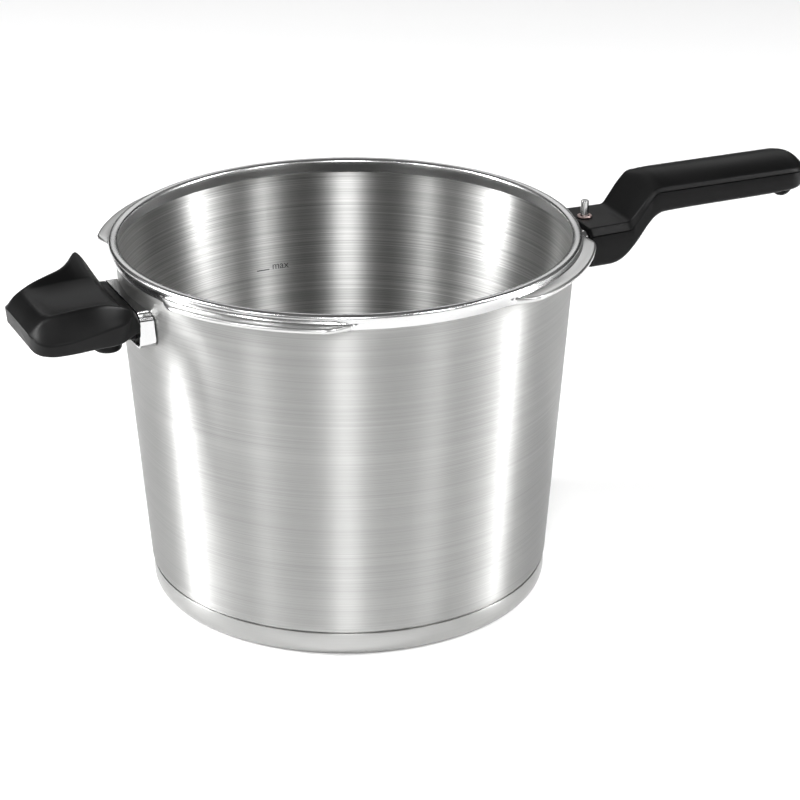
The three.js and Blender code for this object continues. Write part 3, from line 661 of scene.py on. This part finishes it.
def steel_of_pot(centre):
    """0 for the brushed wall, 1 for the polished rim, 2 for the brushed inside, 3 for the satin lugs."""
    radius, z = math.hypot(centre.x, centre.y) / MM, centre.z / MM
    if z > LUG_UNDER - 0.7 and radius > RIM_OUTER + 0.7:
        return 3
    if z > LUG_UNDER - 0.7 and radius > RIM_INNER - 0.4:
        return 1
    return 0 if radius > wall_outer(z) - SHEET / 2 else 2


gap_outline, lug_outline = pot_outlines()
pot = spun("pot_shell", gap_outline, wall_steel, steps=432, lugs=LUG_COUNT, full=lug_outline)
for material in (rim_steel, inside_steel, lug_steel):
    pot.data.materials.append(material)
for polygon in pot.data.polygons:
    polygon.material_index = steel_of_pot(polygon.center)
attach(pot, ROOT)
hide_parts("pot_body")
print("pot:", len(pot.data.polygons), "faces, volume cm3", round(signed_volume(pot.data) * 1e6, 1))

# %% [markdown]
# ## The base
# A pressed steel cup under the pot holds a thick aluminium disc, which spreads the heat. Only the cup is
# seen: a low ring with a curved foot, turned to a satin shine, and a dark hairline seam above it. The seam is
# the small gap that the CAD model leaves between the cup and the pot.

# %% The base
def capsule_outline():
    """The cup's outline: out along its foot, up its side, over its lip and back inside."""
    low_r, out_r = 93.6, CAPSULE_HIGH[0]
    curve, sheet = 6.5, 0.8
    foot = [(0, 0), (30, 0), (60, 0), (85, 0)]
    outer = arc(low_r, curve, out_r - low_r, curve, -90, 0, 10)
    top = CAPSULE_HIGH[2]
    lip = [(out_r, top - 0.5), (out_r - 0.15, top - 0.1), (out_r - 0.4, top), (out_r - sheet, top)]
    inner = arc(low_r, curve, out_r - sheet - low_r, curve - sheet, 0, -90, 8)
    return foot + outer + lip + inner + [(60, sheet), (30, sheet), (0, sheet)]


capsule = spun("base_cup", capsule_outline(), capsule_steel, steps=288)
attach(capsule, ROOT)
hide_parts("base_capsule")
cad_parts["base_core"].data.materials.clear()
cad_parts["base_core"].data.materials.append(core_metal)
print("base cup:", len(capsule.data.polygons), "faces")

# %% [markdown]
# ## The long handle
# The long handle is two mouldings, a body below and a cover above, that meet at a fine dark line round the
# edge. It starts as a flat deck beside the pot, steps up a slope and runs out as a crowned grip. A loft suits
# it: at each distance from the pot one section is drawn from a few heights and widths, and each of these
# follows a smooth curve along the handle.

# %% Sections with rounded corners
def filleted(path, reaches, steps=4):
    """Rounds the corners of an open path. Each corner's reach is how far along its sides the bend starts."""
    path = [np.array(p, float) for p in path]
    out = [path[0]]
    for i in range(1, len(path) - 1):
        before, corner, after = path[i - 1], path[i], path[i + 1]
        if not reaches[i]:
            out.append(corner)
            continue
        to_before, to_after = before - corner, after - corner
        long_before, long_after = max(np.linalg.norm(to_before), 1e-6), max(np.linalg.norm(to_after), 1e-6)
        reach = min(reaches[i], 0.38 * long_before, 0.38 * long_after)
        a, b = corner + to_before / long_before * reach, corner + to_after / long_after * reach
        out.append(corner + to_before / long_before * reach * 1.3)
        for t in np.linspace(0, 1, steps + 1):
            out.append((1 - t) ** 2 * a + 2 * t * (1 - t) * corner + t**2 * b)
        out.append(corner + to_after / long_after * reach * 1.3)
    return out + [path[-1]]


def mirrored_ring(x, half):
    """A closed section at x from its +y half, which runs from the middle of the top to the middle below."""
    ring = [(x, y, z) for y, z in half]
    ring += [(x, -y, z) for y, z in reversed(half[1:-1])]
    return ring


# %% Curves along the long handle
HANDLE_TIP = HANDLE_HIGH[0] - 0.3
TIP_FROM, TIP_POWER = 238.5, 2.2
handle_top = pchip([(124, 169.5), (145.8, 169.5), (147.2, 170.1), (149, 172.2), (160, 185.4), (162.5, 187.6),
                    (166, 189.4), (171, 190), (200, 190), (238, 190), (242, 189.8), (245.5, 189.0),
                    (248, 187.4), (249.6, 185.6), (251, 183.5)])
handle_edge = pchip([(124, 169.5), (146, 169.5), (147.6, 170.2), (149.4, 172.2), (158.8, 183.2),
                     (160.8, 184.9), (163.4, 185.4), (200, 185.4), (240, 185.4), (246, 185.0),
                     (249, 184.3), (251, 183.0)])
handle_half = pchip([(124, 19.35), (150, 18), (166, 17.5), (TIP_FROM, 17.5)])
handle_under = pchip([(124, 148.8), (136, 148.8), (140, 149.4), (144.5, 151.8), (149.4, 156.4),
                      (157.6, 166.6), (161, 169.8), (166, 171.9), (175, 172.3), (232, 173.2),
                      (244, 174.2), (248.5, 175.4), (251, 177)])
edge_inset = pchip([(124, 3.0), (146, 2.9), (156, 1.3), (166, 1.1), (240, 1.1), (251, 0.6)])
edge_drop = pchip([(124, 3.6), (146, 3.4), (158, 2.6), (164, 1.9), (240, 1.8), (251, 1.7)])
under_round = pchip([(124, 4.0), (150, 3.6), (166, 3.8), (240, 3.8), (251, 2.0)])


def handle_width(x):
    """Half the handle's width at x, drawn in to a round end beyond TIP_FROM."""
    if x <= TIP_FROM:
        return handle_half(x)
    reach = (x - TIP_FROM) / (HANDLE_TIP - TIP_FROM)
    return max(handle_half(TIP_FROM) * max(0, 1 - reach**TIP_POWER) ** (1 / TIP_POWER), 0.6)


def handle_stations():
    """Places along the handle, closer together at the start, on the slope and round the tip."""
    straight = [124.5, 124.7, 125.1, 125.6, *np.arange(127, 145, 2.5), *np.arange(145, 170, 0.9),
                *np.arange(171, TIP_FROM, 4)]
    turn = [TIP_FROM + (HANDLE_TIP - TIP_FROM) * math.sin(math.radians(a)) for a in np.arange(0, 89, 3.5)]
    return [float(x) for x in straight + turn]


def end_inset(x):
    """How far a section draws in at the pot's end, to round that end's edge."""
    return max(0, 0.6 - math.sqrt(max(0, 0.36 - max(0, 125.1 - x) ** 2))) if x < 125.1 else 0.0


def cover_ring(x):
    """The cover's section at x: a crown, a shoulder and a flat underside."""
    draw = end_inset(x)
    half, top, edge = handle_width(x) - draw, handle_top(x) - draw, handle_edge(x) - draw
    inset = min(edge_inset(x), 0.4 * half)
    low = handle_edge(x) - edge_drop(x)
    crown = [((half - inset) * t, top - (top - edge) * t**2) for t in (0, 0.2, 0.4, 0.6, 0.78, 0.9)]
    path = crown + [(half - inset, edge), (half, low + 0.25), (half, low), (0, low)]
    return mirrored_ring(x, filleted(path, [0] * 6 + [0.7, 0.25, 0, 0]))


def body_ring(x):
    """The body's section at x: a flat top a gap below the cover, bevelled edges and a rounded underside."""
    draw = end_inset(x)
    half = handle_width(x) - draw
    low = handle_under(x) + draw
    top = handle_edge(x) - edge_drop(x) - GAP
    bend = min(under_round(x), 0.6 * half)
    path = [(0, top), (half - 0.95, top), (half - 0.25, top - 0.45), (half, top - 1.1),
            (half - 0.25, low), (0, low)]
    return mirrored_ring(x, filleted(path, [0, 0, 0, 0, bend, 0], steps=7))


handle_cover = loft("long_handle_cover", [cover_ring(x) for x in handle_stations()], grip_plastic)
handle_body = loft("long_handle_body", [body_ring(x) for x in handle_stations()], grip_plastic)
print("long handle:", len(handle_cover.data.polygons), "+", len(handle_body.data.polygons), "faces")

# %% Holes, wells and the hanging eye
PIN_X, PIN_RADIUS = 129.6, 2.0
HANDLE_SCREW_X = 142.0
COVER_SCREW_X = (185.0, 222.0)
TONGUE_HALF, TONGUE_THICK, NUT_THICK = 8.0, 4.0, 3.6
HANDLE_TONGUE_Z, SIDE_TONGUE_Z = 156.0, 155.5
HEAD_WELL, SHAFT_HOLE = 4.8, 2.8
COVER_HEAD_WELL, COVER_SHAFT_HOLE = 3.4, 1.8


def rod_tool(x, radius, low, high):
    """An upright rod, for a hole or a well."""
    tool = spun("tool", [(0, low), (radius, low), (radius, high), (0, high)], None, steps=40)
    tool.data.transform(Matrix.Translation((x * MM, 0, 0)))
    return tool


def box_tool(x0, x1, half, low, high):
    """A box from x0 to x1, half wide each side of the middle."""
    corners = [(x, y, z) for x in (x0, x1) for y in (-half, half) for z in (low, high)]
    sides = [(0, 1, 3, 2), (4, 6, 7, 5), (0, 4, 5, 1), (2, 3, 7, 6), (0, 2, 6, 4), (1, 5, 7, 3)]
    return outward(piece("tool", corners, sides, None))


def side_disc(name, x, z, radius, half, material=None, round_edge=0.0):
    """A disc lying across the handle, with a rounded edge if one is given."""
    flat = radius - round_edge
    outline = [(0, -half), (flat, -half)]
    if round_edge:
        outline += arc(flat, -half + round_edge, round_edge, round_edge, -90, 0, 5)
    outline += [(p, -q) for p, q in reversed(outline)]
    disc = spun(name, outline, material, steps=64)
    disc.data.transform(Matrix.Translation((x * MM, 0, z * MM)) @ Matrix.Rotation(math.pi / 2, 4, "X"))
    return outward(disc)


def bracket_socket(x0, x1, tongue_z):
    """The slot that a bracket's tongue and its nut lie in, a gap larger than both."""
    return box_tool(x0, x1, TONGUE_HALF + GAP, tongue_z - GAP, tongue_z + TONGUE_THICK + NUT_THICK + 2 * GAP)


EYE_X, EYE_Z, EYE_HOLE_Z = 241.5, 172.8, 171.0
EAR_RADIUS, EAR_HALF, EYE_RADIUS, EYE_HALF = 6.2, 4.2, 2.6, 12.0
cut(handle_body, side_disc("ear", EYE_X, EYE_Z, EAR_RADIUS, EAR_HALF, grip_plastic, 1.2), "UNION")
cut(handle_body, side_disc("eye", EYE_X, EYE_HOLE_Z, EYE_RADIUS, EYE_HALF))
cut(handle_body, bracket_socket(118, 150.3, HANDLE_TONGUE_Z))
# Each screw has a wide well for its head and a narrow hole for its shaft, open from below.
cut(handle_body, rod_tool(HANDLE_SCREW_X, HEAD_WELL, 140, 152))
cut(handle_body, rod_tool(HANDLE_SCREW_X, SHAFT_HOLE, 150, 158))
for x in COVER_SCREW_X:
    cut(handle_body, rod_tool(x, COVER_HEAD_WELL, 168, 176.6))
    cut(handle_body, rod_tool(x, COVER_SHAFT_HOLE, 175, 190))
    cut(handle_cover, rod_tool(x, COVER_SHAFT_HOLE, 175, 187.7))
for obj, low, high in ((handle_body, 160, 172), (handle_cover, 160, 176)):
    cut(obj, rod_tool(PIN_X, PIN_RADIUS + GAP, low, high))
for obj, node in ((handle_cover, "handle_cover"), (handle_body, "handle_shell")):
    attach(obj, ROOT)
    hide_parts(node)
print("cut: eye, tongue socket, screw wells, pin hole")

# %% [markdown]
# ## The helper grip
# The helper grip on the far side is one moulding: a wide wing with a raised crest each side of a shallow
# thumb dish, which is open to the pot. Below the crests its flanks fall to a lip, and a low band under the
# lip turns in to a flat underside. It is lofted outwards from the pot, and the corners of its sections
# follow the crest, the crease of the dish and the lip, so these lines run on all the way along.

# %% Curves along the helper grip
lip_half = pchip([(117, 35.5), (117.6, 37.6), (119, 39.6), (121, 41.6), (123.5, 43.3), (125.2, 43.0),
                  (132.6, 39.6), (141.6, 36.5), (151.5, 33.3), (158, 30.9), (161.4, 28.9),
                  (163.6, 26.4), (165.1, 23.2), (165.8, 20.0)])
lip_high = pchip([(117, 162.2), (119, 166.0), (121, 169.0), (123.5, 171.2), (125.2, 168.4), (132.6, 164.6),
                  (141.6, 161.3), (151.5, 158.2), (160, 157.0), (163, 157.4), (165.8, 158.8)])
crest_half = pchip([(117, 34), (121, 40.0), (123.5, 42.3), (125.5, 40.4), (128, 36.4), (131, 31.5),
                    (134, 28.2), (139, 25.6), (147, 23.8), (154, 22.0), (158, 21.0), (162, 20.2),
                    (165.8, 18.0)])
crest_high = pchip([(117, 162.3), (118.5, 166.5), (120.5, 170.4), (122.2, 172.8), (123.5, 173.9),
                    (126, 174.7), (130, 174.3), (136, 173.0), (147, 170.6), (153, 168.9), (157, 167.2),
                    (160, 165.6), (162.5, 163.6), (164.8, 160.7), (165.8, 159.3)])
crease_half = pchip([(117, 18), (123.5, 20), (136, 20.0), (147, 19.0), (154, 17.4), (160, 16), (165.8, 15)])
crease_high = pchip([(117, 162.3), (118.5, 164.6), (120.5, 166.7), (123.5, 168.4), (136, 168.4), (147, 168.0),
                     (153, 167.8), (156, 167.7), (158.5, 167.0), (160.5, 165.7), (162.5, 163.8),
                     (164.8, 160.9), (165.8, 159.5)])
dish_high = pchip([(117, 162.3), (118.5, 164.2), (120.5, 165.6), (123.5, 166.6), (136, 166.4), (147, 166.2),
                   (152, 166.5), (155, 167.0), (157.6, 167.1), (159.4, 166.5), (161, 165.4),
                   (162.8, 163.7), (164.8, 161.1), (165.8, 159.6)])
under_half = pchip([(117, 35), (118.5, 37), (126, 37), (138, 33.2), (150, 30.5), (157, 28.8), (161, 26.4),
                    (164, 22.8), (165.8, 18.0)])
under_high = pchip([(117, 161.6), (117.6, 160.4), (119, 159.4), (121, 158.2), (126, 155.4), (138, 152.8),
                    (150, 151.0), (157, 150.5), (161.5, 150.6), (164, 151.2), (165.3, 152.3),
                    (165.8, 153.4)])


def grip_ring(a):
    """The grip's section at a distance a from the pot's axis: dish, crest, flank, lip and underside."""
    crease, crest, lip = crease_half(a), crest_half(a), lip_half(a)
    crest = min(crest, lip - 0.5)
    dish, crease_z, crest_z = dish_high(a), crease_high(a), crest_high(a)
    lip_z, low_half, low = lip_high(a), under_half(a), under_high(a)
    flank = lip - crest
    hollow = [(crease * t, dish + (crease_z - dish) * t**2.4) for t in (0, 0.3, 0.55, 0.75, 0.9)]
    path = hollow + [
        (crease, crease_z),
        (crest, crest_z),
        (crest + flank * 0.55, crest_z + (lip_z - crest_z) * 0.50),
        (lip - 0.25, lip_z + 0.45 * min(1, flank)),
        (lip, lip_z - 0.4),
        (low_half + 0.35 * (lip - low_half), low + 0.30 * (lip_z - low)),
        (low_half, low),
        (low_half * 0.5, low), (0, low)]
    reaches = [0] * 5 + [3.0, 3.4, 4.0, 0.3, 0.35, 1.5, 2.0, 0, 0]
    return mirrored_ring(a, filleted(path, reaches, steps=5))


grip_stations = [117.0, 117.15, 117.4, 117.8, *np.arange(118.3, 130, 0.6), *np.arange(130.5, 156, 1.5),
                 *np.arange(156, 165.6, 0.35), 165.8]
grip_rings = [grip_ring(float(a)) for a in grip_stations]
helper_grip = loft("helper_grip_body", grip_rings, grip_plastic, turn=math.pi)
print("helper grip:", len(helper_grip.data.polygons), "faces")

# %% The grip's root, screw boss and well
GRIP_START = 115.0
SIDE_SCREW_X = 122.5


def root_ring(a, half, low, high, bend):
    """A section of the block at the grip's root, which faces the guard, with rounded corners."""
    path = [(0, high), (half, high), (half, low), (0, low)]
    return mirrored_ring(a, filleted(path, [0, bend, bend, 0]))


# The distance from the pot's axis, half the width, the underside and the top of each section.
root_sizes = [(GRIP_START, 24.4, 151.6, 163.9), (GRIP_START + 0.25, 24.8, 151.2, 164.3),
              (GRIP_START + 0.7, 25, 151, 164.5), (GRIP_START + 13, 25, 151.6, 164.5)]
root = loft("grip_root", [root_ring(a, h, lo, hi, 3.0) for a, h, lo, hi in root_sizes], grip_plastic,
            turn=math.pi)
# A round boss hangs under the grip, with a rounded foot, and holds the screw's head.
boss_outline = [(0, 138.5), (4.9, 138.5), *arc(4.9, 141.1, 2.1, 2.6, -90, 0, 8)[1:], (7, 146), (7, 155),
                (0, 155)]
boss = spun("grip_boss", boss_outline, grip_plastic, steps=64)
boss.data.transform(Matrix.Translation((-SIDE_SCREW_X * MM, 0, 0)))
cut(helper_grip, root, "UNION")
cut(helper_grip, boss, "UNION")
cut(helper_grip, bracket_socket(-129.3, -110, SIDE_TONGUE_Z))
cut(helper_grip, rod_tool(-SIDE_SCREW_X, HEAD_WELL, 130, 146))
cut(helper_grip, rod_tool(-SIDE_SCREW_X, SHAFT_HOLE, 145, 157))
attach(helper_grip, ROOT)
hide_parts("side_grip")
print("helper grip after joining:", len(helper_grip.data.polygons), "faces")

# %% [markdown]
# ## Flame guards
# A polished steel sleeve sits between the wall and each handle. It keeps the flame off the plastic and hides
# the welded bracket. Each is a rounded section swept straight out from the wall, and its inner end follows
# the wall's cone, so the start of every line of the sweep is worked out from the wall's radius.

# %% Flame guards
GUARD_SHEET = 1.2
EDGE_ROLL = 0.35


def guard_section(half, low, high, top_cut, bend):
    """The half outline of a sleeve, with cut top corners and round lower ones."""
    path = [(0, high), (half - top_cut, high), (half, high - top_cut * 0.75), (half, low), (0, low)]
    return filleted(path, [0, 1.6, 1.6, bend, 0], steps=6)


def sleeve(name, half, low, high, top_cut, bend, end, turn):
    """A guard from the wall out to x = end, open at both ends, then turned about the pot's axis."""
    outer = guard_section(half, low, high, top_cut, bend)
    inner = guard_section(half - GUARD_SHEET, low + GUARD_SHEET, high - GUARD_SHEET,
                          top_cut * 0.9, bend - GUARD_SHEET)
    rings = []
    for section, places in ((outer, (0, 0.04, 0.5, 0.93, 0.98, 1)), (inner, (1, 0.5, 0))):
        loop = section + [(-y, z) for y, z in reversed(section[1:-1])]
        for place in places:
            roll = EDGE_ROLL if section is outer and place in (0, 1) else 0.0
            ring = []
            for y, z in loop:
                wall = math.sqrt((wall_outer(z) + GAP) ** 2 - y**2)
                x = wall + (end - wall) * place
                middle = (low + high) / 2
                ring.append((x, y - math.copysign(roll, y) * (abs(y) > half * 0.6),
                             z - math.copysign(roll, z - middle)))
            rings.append(ring)
    count = len(rings[0])
    vertices = [p for ring in rings for p in ring]
    faces = []
    for i in range(len(rings)):
        k = (i + 1) % len(rings)
        for j in range(count):
            m = (j + 1) % count
            faces.append((i * count + j, i * count + m, k * count + m, k * count + j))
    return outward(piece(name, vertices, faces, guard_steel, turn=turn), math.radians(40))


helper_guard = sleeve("helper_grip_guard", half=27.5, low=146.5, high=164.5, top_cut=3.5, bend=5.0,
                      end=GRIP_START - GAP, turn=math.pi)
long_guard = sleeve("long_handle_guard", half=16.0, low=150.0, high=167.4, top_cut=2.5, bend=4.0,
                    end=HANDLE_LOW[0] - GAP, turn=0.0)
for obj, node in ((helper_guard, "side_flame_guard"), (long_guard, "handle_flame_guard")):
    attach(obj, ROOT)
    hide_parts(node)
print("guards:", [len(o.data.polygons) for o in (helper_guard, long_guard)])

# %% [markdown]
# ## Screws, nuts and washers
# Each handle hangs on one machine screw that goes up through a spring washer, the plastic, the bracket's
# tongue and a nut, and two small screws hold the cover down. A thread is a ridge that climbs a shaft, which
# is a path rule, so a small node tree sweeps a four-sided ridge along a spiral, half sunk in the shaft. The
# shaft and the head are turned, a cross recess is cut, and the ridge is joined to them.

# %% The thread tree
def thread_tree():
    """A node tree that sweeps a small square section along a spiral."""
    tree = bpy.data.node_groups.new("thread_ridge", "GeometryNodeTree")
    face = tree.interface
    for label, value in (("Radius", 0.002), ("Ridge", 0.0003), ("Length", 0.01), ("Turns", 12.0)):
        face.new_socket(label, in_out="INPUT", socket_type="NodeSocketFloat").default_value = value
    face.new_socket("Finish", in_out="INPUT", socket_type="NodeSocketMaterial")
    face.new_socket("Ridge", in_out="OUTPUT", socket_type="NodeSocketGeometry")
    given, out = tree.nodes.new("NodeGroupInput"), tree.nodes.new("NodeGroupOutput")
    spiral = tree.nodes.new("GeometryNodeCurveSpiral")
    spiral.inputs["Resolution"].default_value = 22
    tree.links.new(given.outputs["Turns"], spiral.inputs["Rotations"])
    tree.links.new(given.outputs["Radius"], spiral.inputs["Start Radius"])
    tree.links.new(given.outputs["Radius"], spiral.inputs["End Radius"])
    tree.links.new(given.outputs["Length"], spiral.inputs["Height"])
    section = tree.nodes.new("GeometryNodeCurvePrimitiveCircle")
    section.inputs["Resolution"].default_value = 4
    tree.links.new(given.outputs[1], section.inputs["Radius"])
    sweep = tree.nodes.new("GeometryNodeCurveToMesh")
    sweep.inputs["Fill Caps"].default_value = True
    tree.links.new(spiral.outputs[0], sweep.inputs["Curve"])
    tree.links.new(section.outputs[0], sweep.inputs["Profile Curve"])
    real = tree.nodes.new("GeometryNodeRealizeInstances")
    tree.links.new(sweep.outputs[0], real.inputs[0])
    finish = tree.nodes.new("GeometryNodeSetMaterial")
    tree.links.new(real.outputs[0], finish.inputs["Geometry"])
    tree.links.new(given.outputs["Finish"], finish.inputs["Material"])
    tree.links.new(finish.outputs[0], out.inputs[0])
    return tree


THREAD = thread_tree()


def thread_ridge(radius, ridge, low, high, pitch):
    """One screw's ridge round the z axis, from low to high."""
    obj = bpy.data.objects.new("ridge", bpy.data.meshes.new("ridge"))
    bpy.context.scene.collection.objects.link(obj)
    modifier = obj.modifiers.new("thread", "NODES")
    modifier.node_group = THREAD
    values = [radius * MM, ridge * MM, (high - low) * MM, (high - low) / pitch, screw_steel]
    inputs = [item for item in THREAD.interface.items_tree if item.in_out == "INPUT"]
    for item, value in zip(inputs, values):
        modifier[item.identifier] = value
    baked(obj)
    obj.data.transform(Matrix.Translation((0, 0, low * MM)))
    return outward(obj)


# %% The four screws
def centre_of(node):
    """A round piece's axis, its lowest and highest points and its radius, in mm."""
    low, high = box_mm(node)
    return (low[0] + high[0]) / 2, (low[1] + high[1]) / 2, low[2], high[2], (high[0] - low[0]) / 2


def screw(node, name, shaft, head, pitch):
    """A pan-head screw that stands head down, with a cross recess and a real thread."""
    x, y, low, high, head_radius = centre_of(node)
    ridge = 0.16 * shaft
    core = shaft - ridge * 0.9
    outline = [(0, low), (head_radius * 0.55, low), *arc(head_radius - 0.9, low + 0.9, 0.9, 0.9, -70, 0, 5),
               (head_radius, low + head - 0.15), (head_radius - 0.15, low + head), (core, low + head),
               (core, high - 0.9), (core - 0.8, high), (0, high)]
    obj = spun(name, outline, screw_steel, steps=48)
    arm, slot = head_radius * 0.52, head_radius * 0.13
    for turn in (0, math.pi / 2):
        tool = box_tool(-arm, arm, slot, low - 1, low + head * 0.55)
        tool.data.transform(Matrix.Rotation(turn, 4, "Z"))
        cut(obj, tool)
    cut(obj, thread_ridge(core, ridge, low + head + 0.5, high - 1.2, pitch), "UNION")
    obj.data.transform(Matrix.Translation((x * MM, y * MM, 0)))
    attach(obj, ROOT)
    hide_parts(node)
    return obj


# The CAD piece, the fine piece, the thread's radius, the head's height and the pitch.
screws = [screw("handle_screw", "long_handle_screw", 2.5, 2.0, 0.8),
          screw("side_screw", "helper_grip_screw", 2.5, 3.0, 0.8),
          screw("cover_screw_1", "cover_screw_near", 1.5, 2.2, 0.6),
          screw("cover_screw_2", "cover_screw_far", 1.5, 2.2, 0.6)]
print("screws:", [len(o.data.polygons) for o in screws])

# %% Nuts and spring washers
def hex_nut(node, name):
    """A six-sided nut: a turned disc with bevelled rims, kept only inside a six-sided prism, and bored."""
    x, y, low, high, corner = centre_of(node)
    obj = spun(name, [(0, low), (corner - 0.7, low), (corner, low + 0.45), (corner, high - 0.45),
                      (corner - 0.7, high), (0, high)], screw_steel, steps=60)
    hexagon = [(corner * math.cos(math.pi / 3 * i), corner * math.sin(math.pi / 3 * i)) for i in range(6)]
    points = [(px, py, z) for z in (low - 1, high + 1) for px, py in hexagon]
    sides = [(i, (i + 1) % 6, (i + 1) % 6 + 6, i + 6) for i in range(6)]
    prism = outward(piece("tool", points, [tuple(range(5, -1, -1)), tuple(range(6, 12)), *sides], None))
    cut(obj, prism, "INTERSECT")
    cut(obj, rod_tool(0, SHAFT_HOLE, low - 1, high + 1))
    obj.data.transform(Matrix.Translation((x * MM, y * MM, 0)))
    return obj


def spring_washer(node, name):
    """A ring cut through once, its ends sprung a little apart in height."""
    x, y, low, high, outer = centre_of(node)
    inner, spring = SHAFT_HOLE, 0.15
    rings = []
    for angle in np.linspace(math.radians(8), math.radians(352), 60):
        rise = spring * (angle / math.pi - 1)
        ring = [(r * math.cos(angle), r * math.sin(angle), z + rise * 0.9) for r, z in (
            (inner, low + spring), (outer, low + spring), (outer, high - spring), (inner, high - spring))]
        rings.append(ring)
    obj = loft(name, rings, screw_steel)
    obj.data.transform(Matrix.Translation((x * MM, y * MM, 0)))
    return obj


for maker, node, name in ((hex_nut, "handle_nut", "long_handle_nut"),
                          (hex_nut, "side_nut", "helper_grip_nut"),
                          (spring_washer, "handle_washer", "long_handle_washer"),
                          (spring_washer, "side_washer", "helper_grip_washer")):
    fixing = maker(node, name)
    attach(fixing, ROOT)
    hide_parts(node)
    print(name, len(fixing.data.polygons), "faces")
for node in ("handle_bracket", "side_bracket"):
    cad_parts[node].data.materials.clear()
    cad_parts[node].data.materials.append(bracket_steel)

# %% [markdown]
# ## The catch pin and its collar
# A plain turned pin stands up through the long handle's deck, with a small rounding at its top. It is taken
# to be the post that the lid's handle catches on. A thin washer with a warm tint lies round its foot.

# %% The catch pin and its collar
x, y, low, high, foot = centre_of("catch_pin")
tip = 0.35
pin_outline = [(0, low), (foot, low), (foot, low + 1), (PIN_RADIUS, low + 1.8), (PIN_RADIUS, high - 4),
               *arc(PIN_RADIUS - tip, high - tip, tip, tip, 0, 90, 4), (0, high)]
pin = spun("catch_pin_turned", pin_outline, pin_steel, steps=64)
_, _, under, over, wide = centre_of("catch_pin_collar")
hole = PIN_RADIUS + GAP
collar_outline = [(hole, under), (wide - 0.1, under), (wide, under + 0.1), (wide, over - 0.25),
                  (wide - 0.25, over), (hole + 0.2, over), (hole, over - 0.15), (hole, under)]
collar = spun("catch_pin_washer", collar_outline, collar_steel, steps=64)
for obj, node, slot_name in ((pin, "catch_pin", "pin"), (collar, "catch_pin_collar", "collar")):
    obj.data.transform(Matrix.Translation((x * MM, y * MM, 0)))
    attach(obj, ROOT)
    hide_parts(node)
print("pin top", round(high, 1), "mm")

# %% [markdown]
# ## The fill mark
# A short line and the plain word "max" mark the inner wall where the food must stop. Here they are thin dark
# shapes that stand a twentieth of a millimetre out of the wall. Text starts as a curve with a little
# thickness. It is turned into a mesh and wrapped round the wall: each point's distance along the line of text
# becomes an angle round the pot.

# %% The fill mark
MARK_HEIGHT, MARK_LEFT, TEXT_LEFT = 124.3, math.radians(93.7), math.radians(89.1)
etched = steel("etched_mark", (0.10, 0.10, 0.10), 0.6, 0.0, 3000, 0.002)


def wrapped(mesh, left, name):
    """Wraps a mesh that lies in the x-y plane, in mm, round the inner wall, thickness towards the axis."""
    for vertex in mesh.vertices:
        along, up, out = vertex.co
        z = MARK_HEIGHT + up
        radius = wall_outer(z) - SHEET - 0.02 - out
        angle = left - along / radius
        vertex.co = Vector((radius * math.cos(angle), radius * math.sin(angle), z)) * MM
    obj = bpy.data.objects.new(name, mesh)
    bpy.context.scene.collection.objects.link(obj)
    mesh.materials.clear()
    mesh.materials.append(etched)
    return outward(obj)


def flat_text(body, size):
    """A word as a mesh in the x-y plane, in mm, 0.06 mm thick."""
    curve = bpy.data.curves.new("word", "FONT")
    curve.body = body
    curve.size = size
    curve.extrude = 0.03
    curve.resolution_u = 3
    holder = bpy.data.objects.new("word", curve)
    bpy.context.scene.collection.objects.link(holder)
    graph = bpy.context.evaluated_depsgraph_get()
    mesh = bpy.data.meshes.new_from_object(holder.evaluated_get(graph))
    bpy.data.objects.remove(holder)
    return mesh


word = wrapped(flat_text("max", 5.4), TEXT_LEFT, "fill_mark_word")
line_section = ((-0.1, -0.03), (0.45, -0.03), (0.45, 0.03), (-0.1, 0.03))
line_points = [(a, b, c) for a in np.linspace(0, 7.0, 8) for b, c in line_section]
line_faces = [(i * 4 + j, i * 4 + (j + 1) % 4, i * 4 + 4 + (j + 1) % 4, i * 4 + 4 + j)
              for i in range(7) for j in range(4)] + [(3, 2, 1, 0), (28, 29, 30, 31)]
line_mesh = bpy.data.meshes.new("fill_mark_line")
line_mesh.from_pydata(line_points, [], line_faces)
line = wrapped(line_mesh, MARK_LEFT, "fill_mark_line")
for obj in (word, line):
    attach(obj, ROOT)
print("fill mark:", len(word.data.polygons), "faces")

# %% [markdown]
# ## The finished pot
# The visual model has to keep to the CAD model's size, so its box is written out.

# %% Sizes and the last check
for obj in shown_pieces():
    if not obj.data.materials:
        print("no material:", obj.name)
low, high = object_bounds()
print("visual box", [round(v, 4) for v in (*low, *high)])
